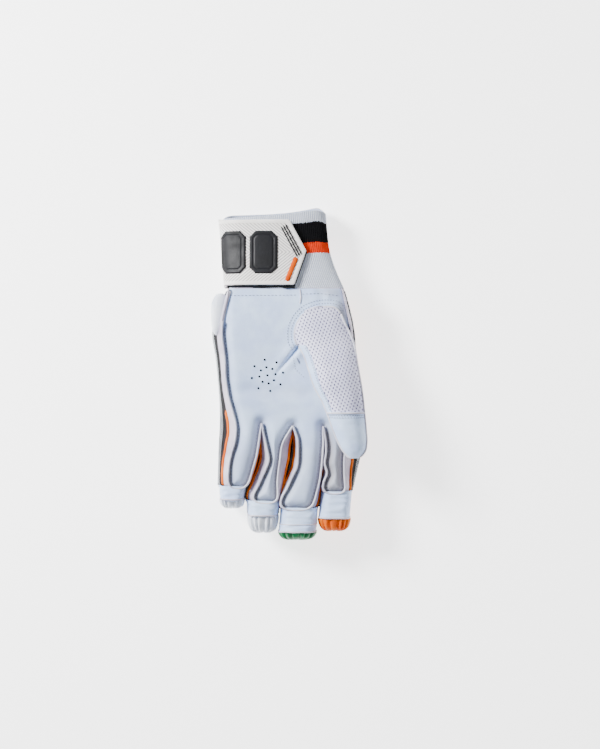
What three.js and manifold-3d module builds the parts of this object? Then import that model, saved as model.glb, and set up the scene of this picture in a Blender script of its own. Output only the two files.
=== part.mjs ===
// A left-hand cricket batting glove lying on its padded back with the palm up, as a hollow assembly.
// Millimetres, +Z up. The fingers point to -Y, the wrist opening faces +Y and the thumb is on the +X side.
// While it is modelled y = 0 is the wrist seam and x = 0 lies under the palm. At the end the whole group is
// moved so that the origin is the middle of the footprint, on the surface that the glove lies on.

import * as THREE from 'three';
import { mergeVertices } from 'three/addons/utils/BufferGeometryUtils.js';
import Module from 'manifold-3d';

const wasm = await Module();
wasm.setup();

// Walls and clearances
const LEATHER = 2; // palm leather with its lining
const KNIT = 3; // wristband
const SEAM_GAP = 0.3; // left between neighbouring pieces
const ROLL_GAP = 1.6; // left between neighbouring foam rolls

// Hand
const PALM_LENGTH = 116; // wrist seam to finger crotch
const HAND_DEPTH = 27; // hollow hand, palm leather to back
const PAD_DEPTH = 19; // foam rolls under the back
const CURL = 7; // rise of the longest fingertip
const PALM_TURN = 5; // how far the palm leather turns down over the edge
const BACK_TURN = 4; // how far the back turns up over the edge

// Fingers, from the outside of the hand to the thumb side
const FINGERS = [
  { name: 'pinky', length: 73, base: 33, width: 25.5, lean: -8, band: 8, gather: 10 },
  { name: 'ring', length: 94, base: 27, width: 29, lean: -12, band: 12, gather: 15 },
  { name: 'middle', length: 100, base: 25, width: 33, lean: -8.5, band: 17, gather: 9 },
  { name: 'index', length: 92, base: 25, width: 28, lean: -1.5, band: 21, gather: 11 },
];
const GATHER_PLEATS = 12; // round each fingertip
const PLEAT_DEPTH = 1.1;
const GATHER_BULGE = 1; // the gathered end stands proud of the finger
const GATHER_LIFT = 2.3; // its underside, above the soles

// Thumb
const THUMB_INSET = 22.5; // middle of the ball of the thumb, from the thumb-side edge of the palm
const THUMB_START = 3; // below the wrist seam
const THUMB_LENGTH = 142;
const THUMB_WIDTH = 50; // across the ball of the thumb
const THUMB_DEPTH = 24;
const THUMB_RISE = 27; // how far its tip stands above its root
const THUMB_LEAN = 24; // how far its tip stands out to the side
const THUMB_ROOT = 35; // height of its middle where it leaves the hand
const THUMB_TIP = 37; // leather tip, from its end
const THUMB_FREE = 55; // below the wrist seam, where the thumb leaves the palm
const GUARD_DEPTH = 7;
const GUARD_SHIFT = 1; // the guard sits out to the side
const GUARD_MARGIN = 1; // narrower than the thumb on each side

// Wristband
const CUFF_LENGTH = 62;
const CUFF_WIDTH = 87;
const WRIST_WIDTH = 97;
const CUFF_DEPTH = 30;
const CUFF_LEAN = -10.5; // sideways, from the seam to the rim
const CUFF_DROP = 10; // the rim hangs lower than the seam
const RIM_SLOPE = 0.09; // the rim is longer on the thumb side

// Strap
const STRAP_WIDTH = 55;
const STRAP_START = 3.4; // above the wrist seam
const STRAP_REACH = 73; // from the outer edge of the wristband to the point
const STRAP_POINT = 14; // length of the pointed end, along its upper edge
const STRAP_POINT_LOW = 10.5; // and along its lower edge
const POINT_RISE = 1.1; // the point, above the middle of the strap
const STRAP_RETURN = 26; // stretch under the wristband
const TAPE = 1.5;
const PATCH = 2.5;
const TAPE_SHOW = 3.2; // hook tape that shows below the patch
const TAPE_INSET = 2; // elsewhere the tape ends inside the patch's outline
const RELIEF = 1.2; // raised shapes on the patch
const GRIP_HEIGHT = 37; // raised dark shapes, across the strap
const GRIP_WIDTH = 23;
const GRIP_SPACING = 26.5;
const GRIP_INSET = 38.5; // middle of the first dark shape, from the point of the strap
const GRIP_CORNER = 5;
const EDGE_INSET = 5.5; // lines and bar, from the edges of the point
const BAR_LENGTH = 20;
const BAR_WIDTH = 3.4;
const BAR_BACK = 9.5; // start of the bar, back from the point
const BAR_DOWN = 7; // and below it
const LINE_LENGTH = 27;
const LINE_WIDTH = 0.9;
const LINE_PITCH = 2;
const LINE_COUNT = 3;

// Outer bolster beside the heel of the hand
const BOLSTER_LENGTH = 38;
const BOLSTER_DEPTH = 22;
const BOLSTER_STANDS = 8.5; // out from the hand
const BOLSTER_START = 3; // below the wrist seam
const BOLSTER_END = 0.35; // share of that stand-out at its two ends

// Corners round each section
const RING_CUFF = 22;
const RING_HAND = 18;
const RING_FINGER = 14;
const RING_ROLL = 10;
// Power of each rounded outline: 2 is an ellipse and more is squarer
const POWER_PALM = 3.4;
const POWER_FINGER = 2.8;
const POWER_THUMB = 2.3;
const POWER_CUFF = 2.5;
const POWER_ROLL = 3.2;
const POWER_GATHER = 2.6;
// Cutting bodies
const LAYER_STEPS = 5;
const OVERRUN = 10; // how far they reach past what they cut
const BEYOND_SEAM = 0.01; // so little that two of them only just overlap
const FAR = 400; // beyond every piece

// Profile of the hand from the wrist seam to the longest fingertip. along: share of that length.
// lift: share of CURL; pad: share of PAD_DEPTH; depth: share of HAND_DEPTH.
const HAND_PROFILE = [
  { along: 0, lift: 0, pad: 0.75, depth: 0.95 },
  { along: 0.15, lift: 0, pad: 1, depth: 1 },
  { along: 0.35, lift: 0, pad: 1, depth: 1 },
  { along: 0.54, lift: 0, pad: 0.92, depth: 0.95 },
  { along: 0.75, lift: 0.3, pad: 0.84, depth: 0.9 },
  { along: 1, lift: 1, pad: 0.8, depth: 0.88 },
];

// Outline of the palm. along: share of PALM_LENGTH; left and right: share of the palm's width at the knuckles.
const PALM_OUTLINE = [
  { along: 0, left: 0.065, right: 0.935, girth: 1 },
  { along: 0.13, left: 0.0, right: 0.96, girth: 1 },
  { along: 0.38, left: -0.035, right: 0.975, girth: 1 },
  { along: 0.69, left: -0.012, right: 0.99, girth: 1 },
  { along: 0.97, left: 0.0, right: 1, girth: 0.98 },
  { along: 1.03, left: 0.02, right: 0.98, girth: 0.86 },
  { along: 1.06, left: 0.05, right: 0.95, girth: 0.6 },
];

// A finger. along: share of its length; lean: share of its lean; spread: from base width to full width;
// girth: share of that width and depth.
const FINGER_SHAPE = [
  { along: -0.3, lean: 0, spread: 0, girth: 0.9 },
  { along: 0, lean: 0.05, spread: 0.05, girth: 0.97 },
  { along: 0.22, lean: 0.45, spread: 0.55, girth: 0.99 },
  { along: 0.45, lean: 0.84, spread: 0.93, girth: 1 },
  { along: 0.7, lean: 1, spread: 1, girth: 1 },
  { along: 0.88, lean: 1, spread: 1, girth: 0.96 },
  { along: 0.96, lean: 0.97, spread: 1, girth: 0.86 },
  { along: 1, lean: 0.97, spread: 1, girth: 0.65 },
];

// The thumb. along: share of THUMB_LENGTH; lean: share of THUMB_LEAN; width: share of THUMB_WIDTH;
// rise: share of THUMB_RISE; depth: share of THUMB_DEPTH.
const THUMB_SHAPE = [
  { along: 0, lean: 0.2, width: 0.3, rise: -0.1, depth: 0.5 },
  { along: 0.09, lean: 0.1, width: 0.66, rise: 0.1, depth: 1 },
  { along: 0.2, lean: 0, width: 0.92, rise: 0.36, depth: 1.2 },
  { along: 0.33, lean: 0, width: 1, rise: 0.7, depth: 1.15 },
  { along: 0.48, lean: 0.28, width: 0.9, rise: 0.94, depth: 1.05 },
  { along: 0.66, lean: 0.62, width: 0.75, rise: 1, depth: 1 },
  { along: 0.82, lean: 0.87, width: 0.62, rise: 1, depth: 0.9 },
  { along: 0.94, lean: 0.97, width: 0.45, rise: 0.97, depth: 0.68 },
  { along: 1, lean: 1, width: 0.2, rise: 0.94, depth: 0.3 },
];
// Upper edge of the thumb's front panel, sewn into the palm as an arc.
// along: share of THUMB_LENGTH; across: share of THUMB_WIDTH from the middle of the ball of the thumb.
const PANEL_ARC = [
  { along: 0.36, across: -0.53 },
  { along: 0.27, across: -0.51 },
  { along: 0.18, across: -0.42 },
  { along: 0.12, across: -0.27 },
  { along: 0.09, across: -0.08 },
  { along: 0.085, across: 0.1 },
  { along: 0.1, across: 0.24 },
];

// The wristband. along: share of CUFF_LENGTH; lean: share of CUFF_LEAN;
// spread: from WRIST_WIDTH to CUFF_WIDTH; open: from the hand's depth to CUFF_DEPTH, and share of CUFF_DROP.
const CUFF_SHAPE = [
  { along: 0, lean: 0, spread: 0, open: 0 },
  { along: 0.2, lean: 0.35, spread: 0.5, open: 0.15 },
  { along: 0.46, lean: 0.7, spread: 0.9, open: 0.5 },
  { along: 0.73, lean: 0.87, spread: 1, open: 0.8 },
  { along: 1, lean: 1, spread: 1, open: 1 },
];

// The gathered end of a fingertip. along: share of its length; girth: share of the finger's width and depth;
// pleat: share of PLEAT_DEPTH.
const GATHER_SHAPE = [
  { along: 0, girth: 0.97, pleat: 0.35 },
  { along: 0.3, girth: 1.03, pleat: 1 },
  { along: 0.65, girth: 0.97, pleat: 1 },
  { along: 0.9, girth: 0.8, pleat: 0.7 },
  { along: 1, girth: 0.55, pleat: 0.3 },
];

// Foam rolls under the back, from the wrist to the knuckles and along each finger, as shares of each stretch.
const HAND_ROLLS = [
  { name: 'wrist', from: 0.05, to: 0.5 },
  { name: 'knuckle', from: 0.5, to: 1 },
];
const FINGER_ROLLS = [
  { name: 'low', from: 0.0, to: 0.36 },
  { name: 'mid', from: 0.36, to: 0.68 },
  { name: 'top', from: 0.68, to: 1 },
];
const GUARD_ROLLS = [
  { name: 'low', from: 0.42, to: 0.7 },
  { name: 'top', from: 0.7, to: 0.97 },
];
// A roll swells from its ends and is flat below, where it lies on the ground.
// along: share of its length; girth: share of its width; sole: share of its depth.
const ROLL_SHAPE = [
  { along: 0, girth: 0.9, sole: 0.8 },
  { along: 0.13, girth: 0.98, sole: 1 },
  { along: 0.5, girth: 1, sole: 1 },
  { along: 0.87, girth: 0.98, sole: 1 },
  { along: 1, girth: 0.9, sole: 0.8 },
];

// A function that reads a table's columns smoothly at any value of its column "along".
function smooth(table) {
  const keys = Object.keys(table[0]).filter((key) => typeof table[0][key] === 'number' && key !== 'along');
  const at = Float32Array.from(table, (row) => row.along);
  const values = Float32Array.from(table.flatMap((row) => keys.map((key) => row[key])));
  const reader = new THREE.CubicInterpolant(at, values, keys.length);
  return (along) => {
    const clamped = THREE.MathUtils.clamp(along, at[0], at[at.length - 1]);
    const found = reader.evaluate(clamped);
    return Object.fromEntries(keys.map((key, i) => [key, found[i]]));
  };
}

// Solid from a three.js geometry, for joining and cutting.
function solidOf(geometry) {
  const bare = new THREE.BufferGeometry();
  const flat = geometry.index ? geometry.toNonIndexed() : geometry;
  bare.setAttribute('position', flat.getAttribute('position').clone());
  const merged = mergeVertices(bare, 1e-4);
  return new wasm.Manifold(
    new wasm.Mesh({
      numProp: 3,
      vertProperties: new Float32Array(merged.attributes.position.array),
      triVerts: new Uint32Array(merged.index.array),
    }),
  );
}

// Closed loft through sections that each lie across Y.
// A section has y, x, halfWidth, bottom, top, power of its rounded outline, and optional slope and pleats.
function loft(sections, sides) {
  const positions = [];
  const index = [];
  for (const section of sections) {
    const { x, y, halfWidth, bottom, top, power, slope = 0, pleat = 0 } = section;
    const middle = (bottom + top) / 2;
    for (let i = 0; i < sides; i++) {
      const angle = (i / sides) * 2 * Math.PI;
      const c = Math.cos(angle);
      const s = Math.sin(angle);
      const fold = pleat * (i % 2 ? -1 : 1);
      const across = Math.sign(c) * Math.abs(c) ** (2 / power) * (halfWidth + fold);
      const up = Math.sign(s) * Math.abs(s) ** (2 / power) * ((top - bottom) / 2 + fold);
      positions.push(x + across, y + slope * across, middle + up);
    }
  }
  for (let r = 0; r + 1 < sections.length; r++) {
    for (let i = 0; i < sides; i++) {
      const j = (i + 1) % sides;
      const a = r * sides + i;
      const b = r * sides + j;
      index.push(a, b, b + sides, a, b + sides, a + sides);
    }
  }
  for (const [r, turned] of [[0, false], [sections.length - 1, true]]) {
    const { x, y, bottom, top } = sections[r];
    const centre = positions.length / 3;
    positions.push(x, y, (bottom + top) / 2);
    for (let i = 0; i < sides; i++) {
      const a = r * sides + i;
      const b = r * sides + ((i + 1) % sides);
      index.push(...(turned ? [centre, a, b] : [centre, b, a]));
    }
  }
  const geometry = new THREE.BufferGeometry();
  geometry.setAttribute('position', new THREE.Float32BufferAttribute(positions, 3));
  geometry.setIndex(index);
  const made = solidOf(geometry);
  if (made.volume() >= 0) return made;
  for (let i = 0; i < index.length; i += 3) [index[i + 1], index[i + 2]] = [index[i + 2], index[i + 1]];
  geometry.setIndex(index);
  return solidOf(geometry);
}

// Straight prism on an outline of [x, y] points, from one height to another.
function prism(outline, low, high) {
  const shape = new THREE.Shape(outline.map(([x, y]) => new THREE.Vector2(x, y)));
  const geometry = new THREE.ExtrudeGeometry(shape, { depth: high - low, bevelEnabled: false });
  return solidOf(geometry.translate(0, 0, low));
}

// All of space between two heights that change along Y, as a solid as wide as the scene.
function layer(lowAt, highAt, from, to) {
  const stations = Array.from({ length: LAYER_STEPS + 1 }, (_, i) => from + ((to - from) * i) / LAYER_STEPS);
  const outline = [
    ...stations.map((y) => new THREE.Vector2(y, lowAt(y))),
    ...stations.reverse().map((y) => new THREE.Vector2(y, highAt(y))),
  ];
  const geometry = new THREE.ExtrudeGeometry(new THREE.Shape(outline), { depth: 2 * FAR, bevelEnabled: false });
  const turn = new THREE.Matrix4().makeBasis(
    new THREE.Vector3(0, 1, 0),
    new THREE.Vector3(0, 0, 1),
    new THREE.Vector3(1, 0, 0),
  );
  geometry.applyMatrix4(turn).translate(-FAR, 0, 0);
  return solidOf(geometry);
}

// Everything between two values of y.
function slab(from, to) {
  return prism([[-FAR, from], [FAR, from], [FAR, to], [-FAR, to]], -FAR, FAR);
}

const longest = Math.max(...FINGERS.map((finger) => finger.length));
const HAND_LENGTH = PALM_LENGTH + longest;
const palmWidth = FINGERS.reduce((sum, finger) => sum + finger.base, 0);
const knuckleLeft = -palmWidth / 2;
const crotch = -PALM_LENGTH;
FINGERS.reduce((left, finger) => {
  finger.x = left + finger.base / 2;
  return left + finger.base;
}, knuckleLeft);

const readProfile = smooth(HAND_PROFILE);
// Heights at y: floor under the rolls, and bottom and top of the hollow hand.
function heights(y) {
  const row = readProfile(-y / HAND_LENGTH);
  const floor = row.lift * CURL;
  const bottom = floor + row.pad * PAD_DEPTH;
  return { floor, bottom, top: bottom + row.depth * HAND_DEPTH };
}

// The palm's body, grown on all sides.
function palmBody(grow) {
  const read = smooth(PALM_OUTLINE);
  const sections = PALM_OUTLINE.map(({ along }) => {
    const { left, right, girth } = read(along);
    const y = -along * (PALM_LENGTH + grow);
    const { bottom, top } = heights(y);
    const middle = (bottom + top) / 2;
    const half = ((top - bottom) / 2) * girth + grow;
    return {
      y,
      x: knuckleLeft + (palmWidth * (left + right)) / 2,
      halfWidth: (palmWidth * (right - left)) / 2 + grow,
      bottom: middle - half,
      top: middle + half,
      power: POWER_PALM,
    };
  });
  sections[0].y += OVERRUN; // past the wrist seam, where every piece of the hand is trimmed
  return loft(sections, RING_HAND);
}

const readFinger = smooth(FINGER_SHAPE);
// One section of a finger at a share of its length, grown on all sides.
function fingerSection(finger, along, grow) {
  const { lean, spread, girth } = readFinger(along);
  const y = crotch - along * (finger.length + grow);
  const { bottom, top } = heights(y);
  const middle = (bottom + top) / 2;
  const half = ((top - bottom) / 2) * girth + grow;
  const width = finger.base + (finger.width - finger.base) * spread;
  return {
    y,
    x: finger.x + lean * finger.lean,
    halfWidth: (width / 2) * girth + grow - ROLL_GAP / 2,
    bottom: middle - half,
    top: middle + half,
    power: POWER_FINGER,
  };
}

function fingerBody(finger, grow) {
  return loft(FINGER_SHAPE.map((row) => fingerSection(finger, row.along, grow)), RING_FINGER);
}

const readThumb = smooth(THUMB_SHAPE);
const thumbX = knuckleLeft + palmWidth - THUMB_INSET;
// One section of the thumb at a share of its length, grown on all sides.
function thumbSection(along, grow) {
  const row = readThumb(along);
  const middle = THUMB_ROOT + row.rise * THUMB_RISE;
  const half = (row.depth * THUMB_DEPTH) / 2 + grow;
  return {
    y: -THUMB_START - along * (THUMB_LENGTH + grow),
    x: thumbX + row.lean * THUMB_LEAN,
    halfWidth: (row.width * THUMB_WIDTH) / 2 + grow,
    bottom: middle - half,
    top: middle + half,
    power: POWER_THUMB,
  };
}

function thumbBody(grow) {
  return loft(THUMB_SHAPE.map((row) => thumbSection(row.along, grow)), RING_FINGER);
}

const readCuff = smooth(CUFF_SHAPE);
// One section of the wristband at a share of its length, grown sideways and in depth.
function cuffSection(along, grow) {
  const { lean, spread, open } = readCuff(along);
  const seam = heights(0);
  const bottom = seam.bottom - open * CUFF_DROP;
  const depth = seam.top - seam.bottom + open * (CUFF_DEPTH - (seam.top - seam.bottom));
  return {
    y: SEAM_GAP + along * CUFF_LENGTH,
    x: lean * CUFF_LEAN,
    halfWidth: (WRIST_WIDTH + (CUFF_WIDTH - WRIST_WIDTH) * spread) / 2 + grow,
    bottom: bottom - grow,
    top: bottom + depth + grow,
    power: POWER_CUFF,
    slope: along * RIM_SLOPE,
  };
}

// The wristband's outline, lengthened at both ends by "past".
function cuffBody(grow, past = 0) {
  const sections = CUFF_SHAPE.map(({ along }) => cuffSection(along, grow));
  if (past > 0) {
    const [first, last] = [sections[0], sections[sections.length - 1]];
    sections.unshift({ ...first, y: first.y - past });
    sections.push({ ...last, y: last.y + past });
  }
  return loft(sections, RING_CUFF);
}

const handGrown = (grow) =>
  FINGERS.map((finger) => fingerBody(finger, grow)).reduce((sum, one) => sum.add(one), palmBody(grow));

const handOuter = handGrown(0);
const handInner = handGrown(-LEATHER);
const handClear = handGrown(SEAM_GAP);
const thumbOuter = thumbBody(0);
const thumbInner = thumbBody(-LEATHER);
const thumbClear = thumbBody(SEAM_GAP);
const beyondWrist = slab(-BEYOND_SEAM, FAR);

const alongThumb = (y) => (-THUMB_START - y) / THUMB_LENGTH;
// Height of the middle of the thumb at y, where its front meets its back.
function thumbMiddle(y) {
  const { bottom, top } = thumbSection(alongThumb(y), 0);
  return (bottom + top) / 2;
}
// The space of the thumb's front panel, widened by a gap on every side.
function frontZone(gap) {
  const summit = PANEL_ARC.reduce((best, row) => (row.along < best.along ? row : best));
  const arc = PANEL_ARC.map(({ along, across }) => {
    const [x, y] = [thumbX + across * THUMB_WIDTH, -THUMB_START - along * THUMB_LENGTH];
    return [x + Math.sign(across - summit.across) * gap, y + gap];
  });
  const [firstX, firstY] = arc[0];
  const lastY = arc[arc.length - 1][1];
  const outline = [[firstX, firstY], [-FAR, firstY], [-FAR, -FAR], [FAR, -FAR], [FAR, lastY], ...arc.reverse()];
  const end = -THUMB_START - THUMB_LENGTH - OVERRUN;
  const above = layer((y) => thumbMiddle(y) - gap, () => FAR, end, 0);
  return prism(outline, -FAR, FAR).intersect(above);
}

const glove = new THREE.Group();
const materials = {};
function material(name, color, roughness) {
  materials[name] ??= new THREE.MeshStandardMaterial({ name, color, roughness, metalness: 0 });
  return materials[name];
}

function add(name, solid, look) {
  const mesh = solid.getMesh();
  const geometry = new THREE.BufferGeometry();
  const positions = new Float32Array(mesh.numVert * 3);
  for (let i = 0; i < mesh.numVert; i++) {
    positions.set(mesh.vertProperties.subarray(i * mesh.numProp, i * mesh.numProp + 3), i * 3);
  }
  geometry.setAttribute('position', new THREE.BufferAttribute(positions, 3));
  geometry.setIndex(new THREE.BufferAttribute(mesh.triVerts, 1));
  geometry.computeVertexNormals();
  const made = new THREE.Mesh(geometry, look);
  made.name = name;
  glove.add(made);
}

// The largest body of a cut, which drops slivers under a cubic millimetre or so.
function largest(solid) {
  return solid.decompose().reduce((best, one) => (one.volume() > best.volume() ? one : best));
}

const looks = {
  leather: material('leather', 0xdfe3ee, 0.55),
  gusset: material('gusset', 0xcfcfd8, 0.6),
  mesh: material('mesh', 0xe6e2f0, 0.7),
  knit: material('knit', 0xe4e4ea, 0.9),
  white: material('white', 0xeceef2, 0.4),
  green: material('green', 0x0d8a55, 0.35),
  orange: material('orange', 0xf58a12, 0.35),
  rubber: material('rubber', 0xe8e4e0, 0.5),
  dark: material('dark', 0x33363d, 0.45),
  tape: material('tape', 0x1d2026, 0.9),
};
const fingerLook = { pinky: looks.white, ring: looks.white, middle: looks.green, index: looks.orange };

// Shell of the hand, open at the wrist and into the thumb, in palm, back and side pieces.
function addHand() {
  const free = thumbClear.intersect(slab(-FAR, -THUMB_FREE));
  const shell = handOuter
    .add(thumbOuter)
    .subtract(handInner.add(thumbInner))
    .subtract(free.subtract(handClear))
    .subtract(frontZone(SEAM_GAP))
    .subtract(beyondWrist);
  const palmEdge = (y) => heights(y).top - PALM_TURN;
  const backEdge = (y) => heights(y).bottom + BACK_TURN;
  const half = SEAM_GAP / 2;
  const from = -HAND_LENGTH - OVERRUN;
  const palmLayer = layer((y) => palmEdge(y) + half, () => FAR, from, OVERRUN);
  const sideLayer = layer((y) => backEdge(y) + half, (y) => palmEdge(y) - half, from, OVERRUN);
  const backLayer = layer(() => -FAR, (y) => backEdge(y) - half, from, OVERRUN);
  // A fingertip is cut off the shell where its band starts.
  let tips = null;
  for (const finger of FINGERS) {
    const tip = crotch - finger.length;
    const reach = Math.max(finger.base, finger.width) / 2;
    const x = finger.x + finger.lean;
    const bandStart = tip + finger.gather + finger.band;
    const low = tip - OVERRUN;
    const high = bandStart + half;
    const box = prism([[x - reach, low], [x + reach, low], [x + reach, high], [x - reach, high]], -FAR, FAR);
    const own = fingerBody(finger, SEAM_GAP).intersect(box);
    tips = tips ? tips.add(own) : own;
  }
  const trunk = shell.subtract(tips);
  add('palm_leather', largest(trunk.intersect(palmLayer)), looks.leather);
  add('back_panel', largest(trunk.intersect(backLayer)), looks.gusset);
  // The side walls, named from the outside of the hand to the thumb side.
  const names = [
    'outer_gusset',
    'fourchette_pinky_ring',
    'fourchette_ring_middle',
    'fourchette_middle_index',
    'thumb_side_gusset',
  ];
  const middleX = (one) => one.boundingBox().min[0] + one.boundingBox().max[0];
  const sides = trunk
    .intersect(sideLayer)
    .decompose()
    .sort((a, b) => b.volume() - a.volume())
    .slice(0, names.length)
    .sort((a, b) => middleX(a) - middleX(b));
  sides.forEach((one, i) => add(names[i], one, looks.gusset));
}

// The leather band across each fingertip, and the gathered end of its padding.
function addFingertips() {
  for (const finger of FINGERS) {
    const tip = crotch - finger.length;
    const gatherStart = tip + finger.gather;
    const bandStart = gatherStart + finger.band;
    const half = SEAM_GAP / 2;
    const ring = (grow, past) => {
      const [near, far] = [gatherStart + half - past, bandStart - half + past];
      const at = (y) => ({ ...fingerSection(finger, (crotch - y) / finger.length, grow), y });
      return loft([at(near), at((near + far) / 2), at(far)], RING_FINGER);
    };
    add(`${finger.name}_tip_band`, ring(0, 0).subtract(ring(-LEATHER, SEAM_GAP)), looks.leather);

    const widest = fingerSection(finger, (crotch - gatherStart) / finger.length, 0);
    const { floor, top } = heights(gatherStart);
    const low = floor + GATHER_LIFT;
    const sections = GATHER_SHAPE.map(({ along, girth, pleat }) => {
      const reach = ((top - low) / 2) * girth;
      return {
        y: gatherStart - half - along * (finger.gather - half),
        x: widest.x,
        halfWidth: (widest.halfWidth + GATHER_BULGE - PLEAT_DEPTH) * girth,
        bottom: (low + top) / 2 - reach,
        top: (low + top) / 2 + reach,
        pleat: pleat * PLEAT_DEPTH,
        power: POWER_GATHER,
      };
    });
    add(`${finger.name}_gathered_tip`, loft(sections, 2 * GATHER_PLEATS), fingerLook[finger.name]);
  }
}

// A foam roll between two values of y. across gives its middle and half width at y.
function roll(from, to, across, lowAt, highAt, clear) {
  const gap = ROLL_GAP / 2;
  const sections = ROLL_SHAPE.map(({ along, girth, sole }) => {
    const y = from - gap + (to - from + 2 * gap) * along;
    const { x, halfWidth } = across(y);
    return {
      y,
      x,
      halfWidth: halfWidth * girth,
      bottom: highAt(y) - sole * (highAt(y) - lowAt(y)),
      top: highAt(y),
      power: POWER_ROLL,
    };
  });
  return largest(loft(sections, RING_ROLL).subtract(clear));
}

// Rolls along the back of the hand and of each finger.
function addRolls() {
  const low = (y) => heights(y).floor;
  const high = (y) => heights(y).bottom + BACK_TURN / 2;
  const readPalm = smooth(PALM_OUTLINE);
  for (const finger of FINGERS) {
    const overHand = (y) => {
      const { left, right } = readPalm(-y / PALM_LENGTH);
      const edge = knuckleLeft + palmWidth * left;
      const scale = right - left;
      return {
        x: edge + (finger.x - knuckleLeft) * scale,
        halfWidth: (finger.base * scale) / 2 - ROLL_GAP / 2,
      };
    };
    for (const { name, from, to } of HAND_ROLLS) {
      const made = roll(-from * PALM_LENGTH, -to * PALM_LENGTH, overHand, low, high, handClear);
      add(`${finger.name}_${name}_roll`, made, fingerLook[finger.name]);
    }
    const overFinger = (y) => fingerSection(finger, (crotch - y) / finger.length, 0);
    const reach = finger.length - finger.gather;
    for (const { name, from, to } of FINGER_ROLLS) {
      const made = roll(crotch - from * reach, crotch - to * reach, overFinger, low, high, handClear);
      add(`${finger.name}_${name}_roll`, made, fingerLook[finger.name]);
    }
  }
}

// Padded bolster that wraps the outer edge beside the heel of the hand.
function addBolster() {
  const start = -BOLSTER_START;
  const end = start - BOLSTER_LENGTH;
  const middleY = (start + end) / 2;
  const { bottom, top } = heights(middleY);
  const low = (bottom + top - BOLSTER_DEPTH) / 2;
  const edge = knuckleLeft + palmWidth * smooth(PALM_OUTLINE)(-middleY / PALM_LENGTH).left;
  const across = (y) => {
    const swell = Math.sin((Math.PI * (start - y)) / BOLSTER_LENGTH) ** 0.5 || 0;
    return { x: edge, halfWidth: BOLSTER_STANDS * (BOLSTER_END + (1 - BOLSTER_END) * swell) };
  };
  const made = roll(start, end, across, () => low, () => low + BOLSTER_DEPTH, handClear);
  add('heel_bolster', made, looks.white);
}

// Thumb: perforated front, leather tip, leather back and the padded guard behind it.
function addThumb() {
  const end = -THUMB_START - THUMB_LENGTH;
  const tipStart = end + THUMB_TIP;
  const tube = thumbOuter.subtract(thumbInner);
  add('thumb_tip', largest(tube.intersect(slab(-FAR, tipStart - SEAM_GAP))), looks.leather);
  const trunk = handOuter.add(thumbOuter).subtract(handInner.add(thumbInner)).intersect(slab(tipStart, FAR));
  const overThumb = thumbOuter.add(handOuter.intersect(slab(-THUMB_FREE, FAR)));
  add('thumb_front', largest(trunk.intersect(frontZone(0)).intersect(overThumb)), looks.mesh);
  const back = layer(() => -FAR, (y) => thumbMiddle(y) - SEAM_GAP, end - OVERRUN, 0);
  const free = slab(tipStart, -THUMB_FREE - SEAM_GAP);
  add('thumb_back', largest(tube.intersect(back).intersect(free).subtract(handClear)), looks.leather);
  const clear = thumbClear.add(handClear);
  const across = (y) => {
    const { x, halfWidth } = thumbSection(alongThumb(y), 0);
    return { x: x + GUARD_SHIFT, halfWidth: halfWidth - GUARD_MARGIN };
  };
  for (const { name, from: a, to: b } of GUARD_ROLLS) {
    const at = (share) => -THUMB_START - share * THUMB_LENGTH;
    const low = (y) => thumbSection(alongThumb(y), 0).bottom - GUARD_DEPTH;
    const made = roll(at(a), at(b), across, low, thumbMiddle, clear);
    add(`thumb_guard_${name}`, made, looks.rubber);
  }
}

// Wristband, a ribbed knitted tube that is open at both ends.
function addWristband() {
  add('wristband', cuffBody(0).subtract(cuffBody(-KNIT, OVERRUN)), looks.knit);
}

// Outline with its corners cut at 45 degrees.
function chamfered(x, y, width, height, corner) {
  const [a, b] = [width / 2, height / 2];
  return [
    [x - a + corner, y - b], [x + a - corner, y - b], [x + a, y - b + corner], [x + a, y + b - corner],
    [x + a - corner, y + b], [x - a + corner, y + b], [x - a, y + b - corner], [x - a, y - b + corner],
  ];
}

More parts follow.
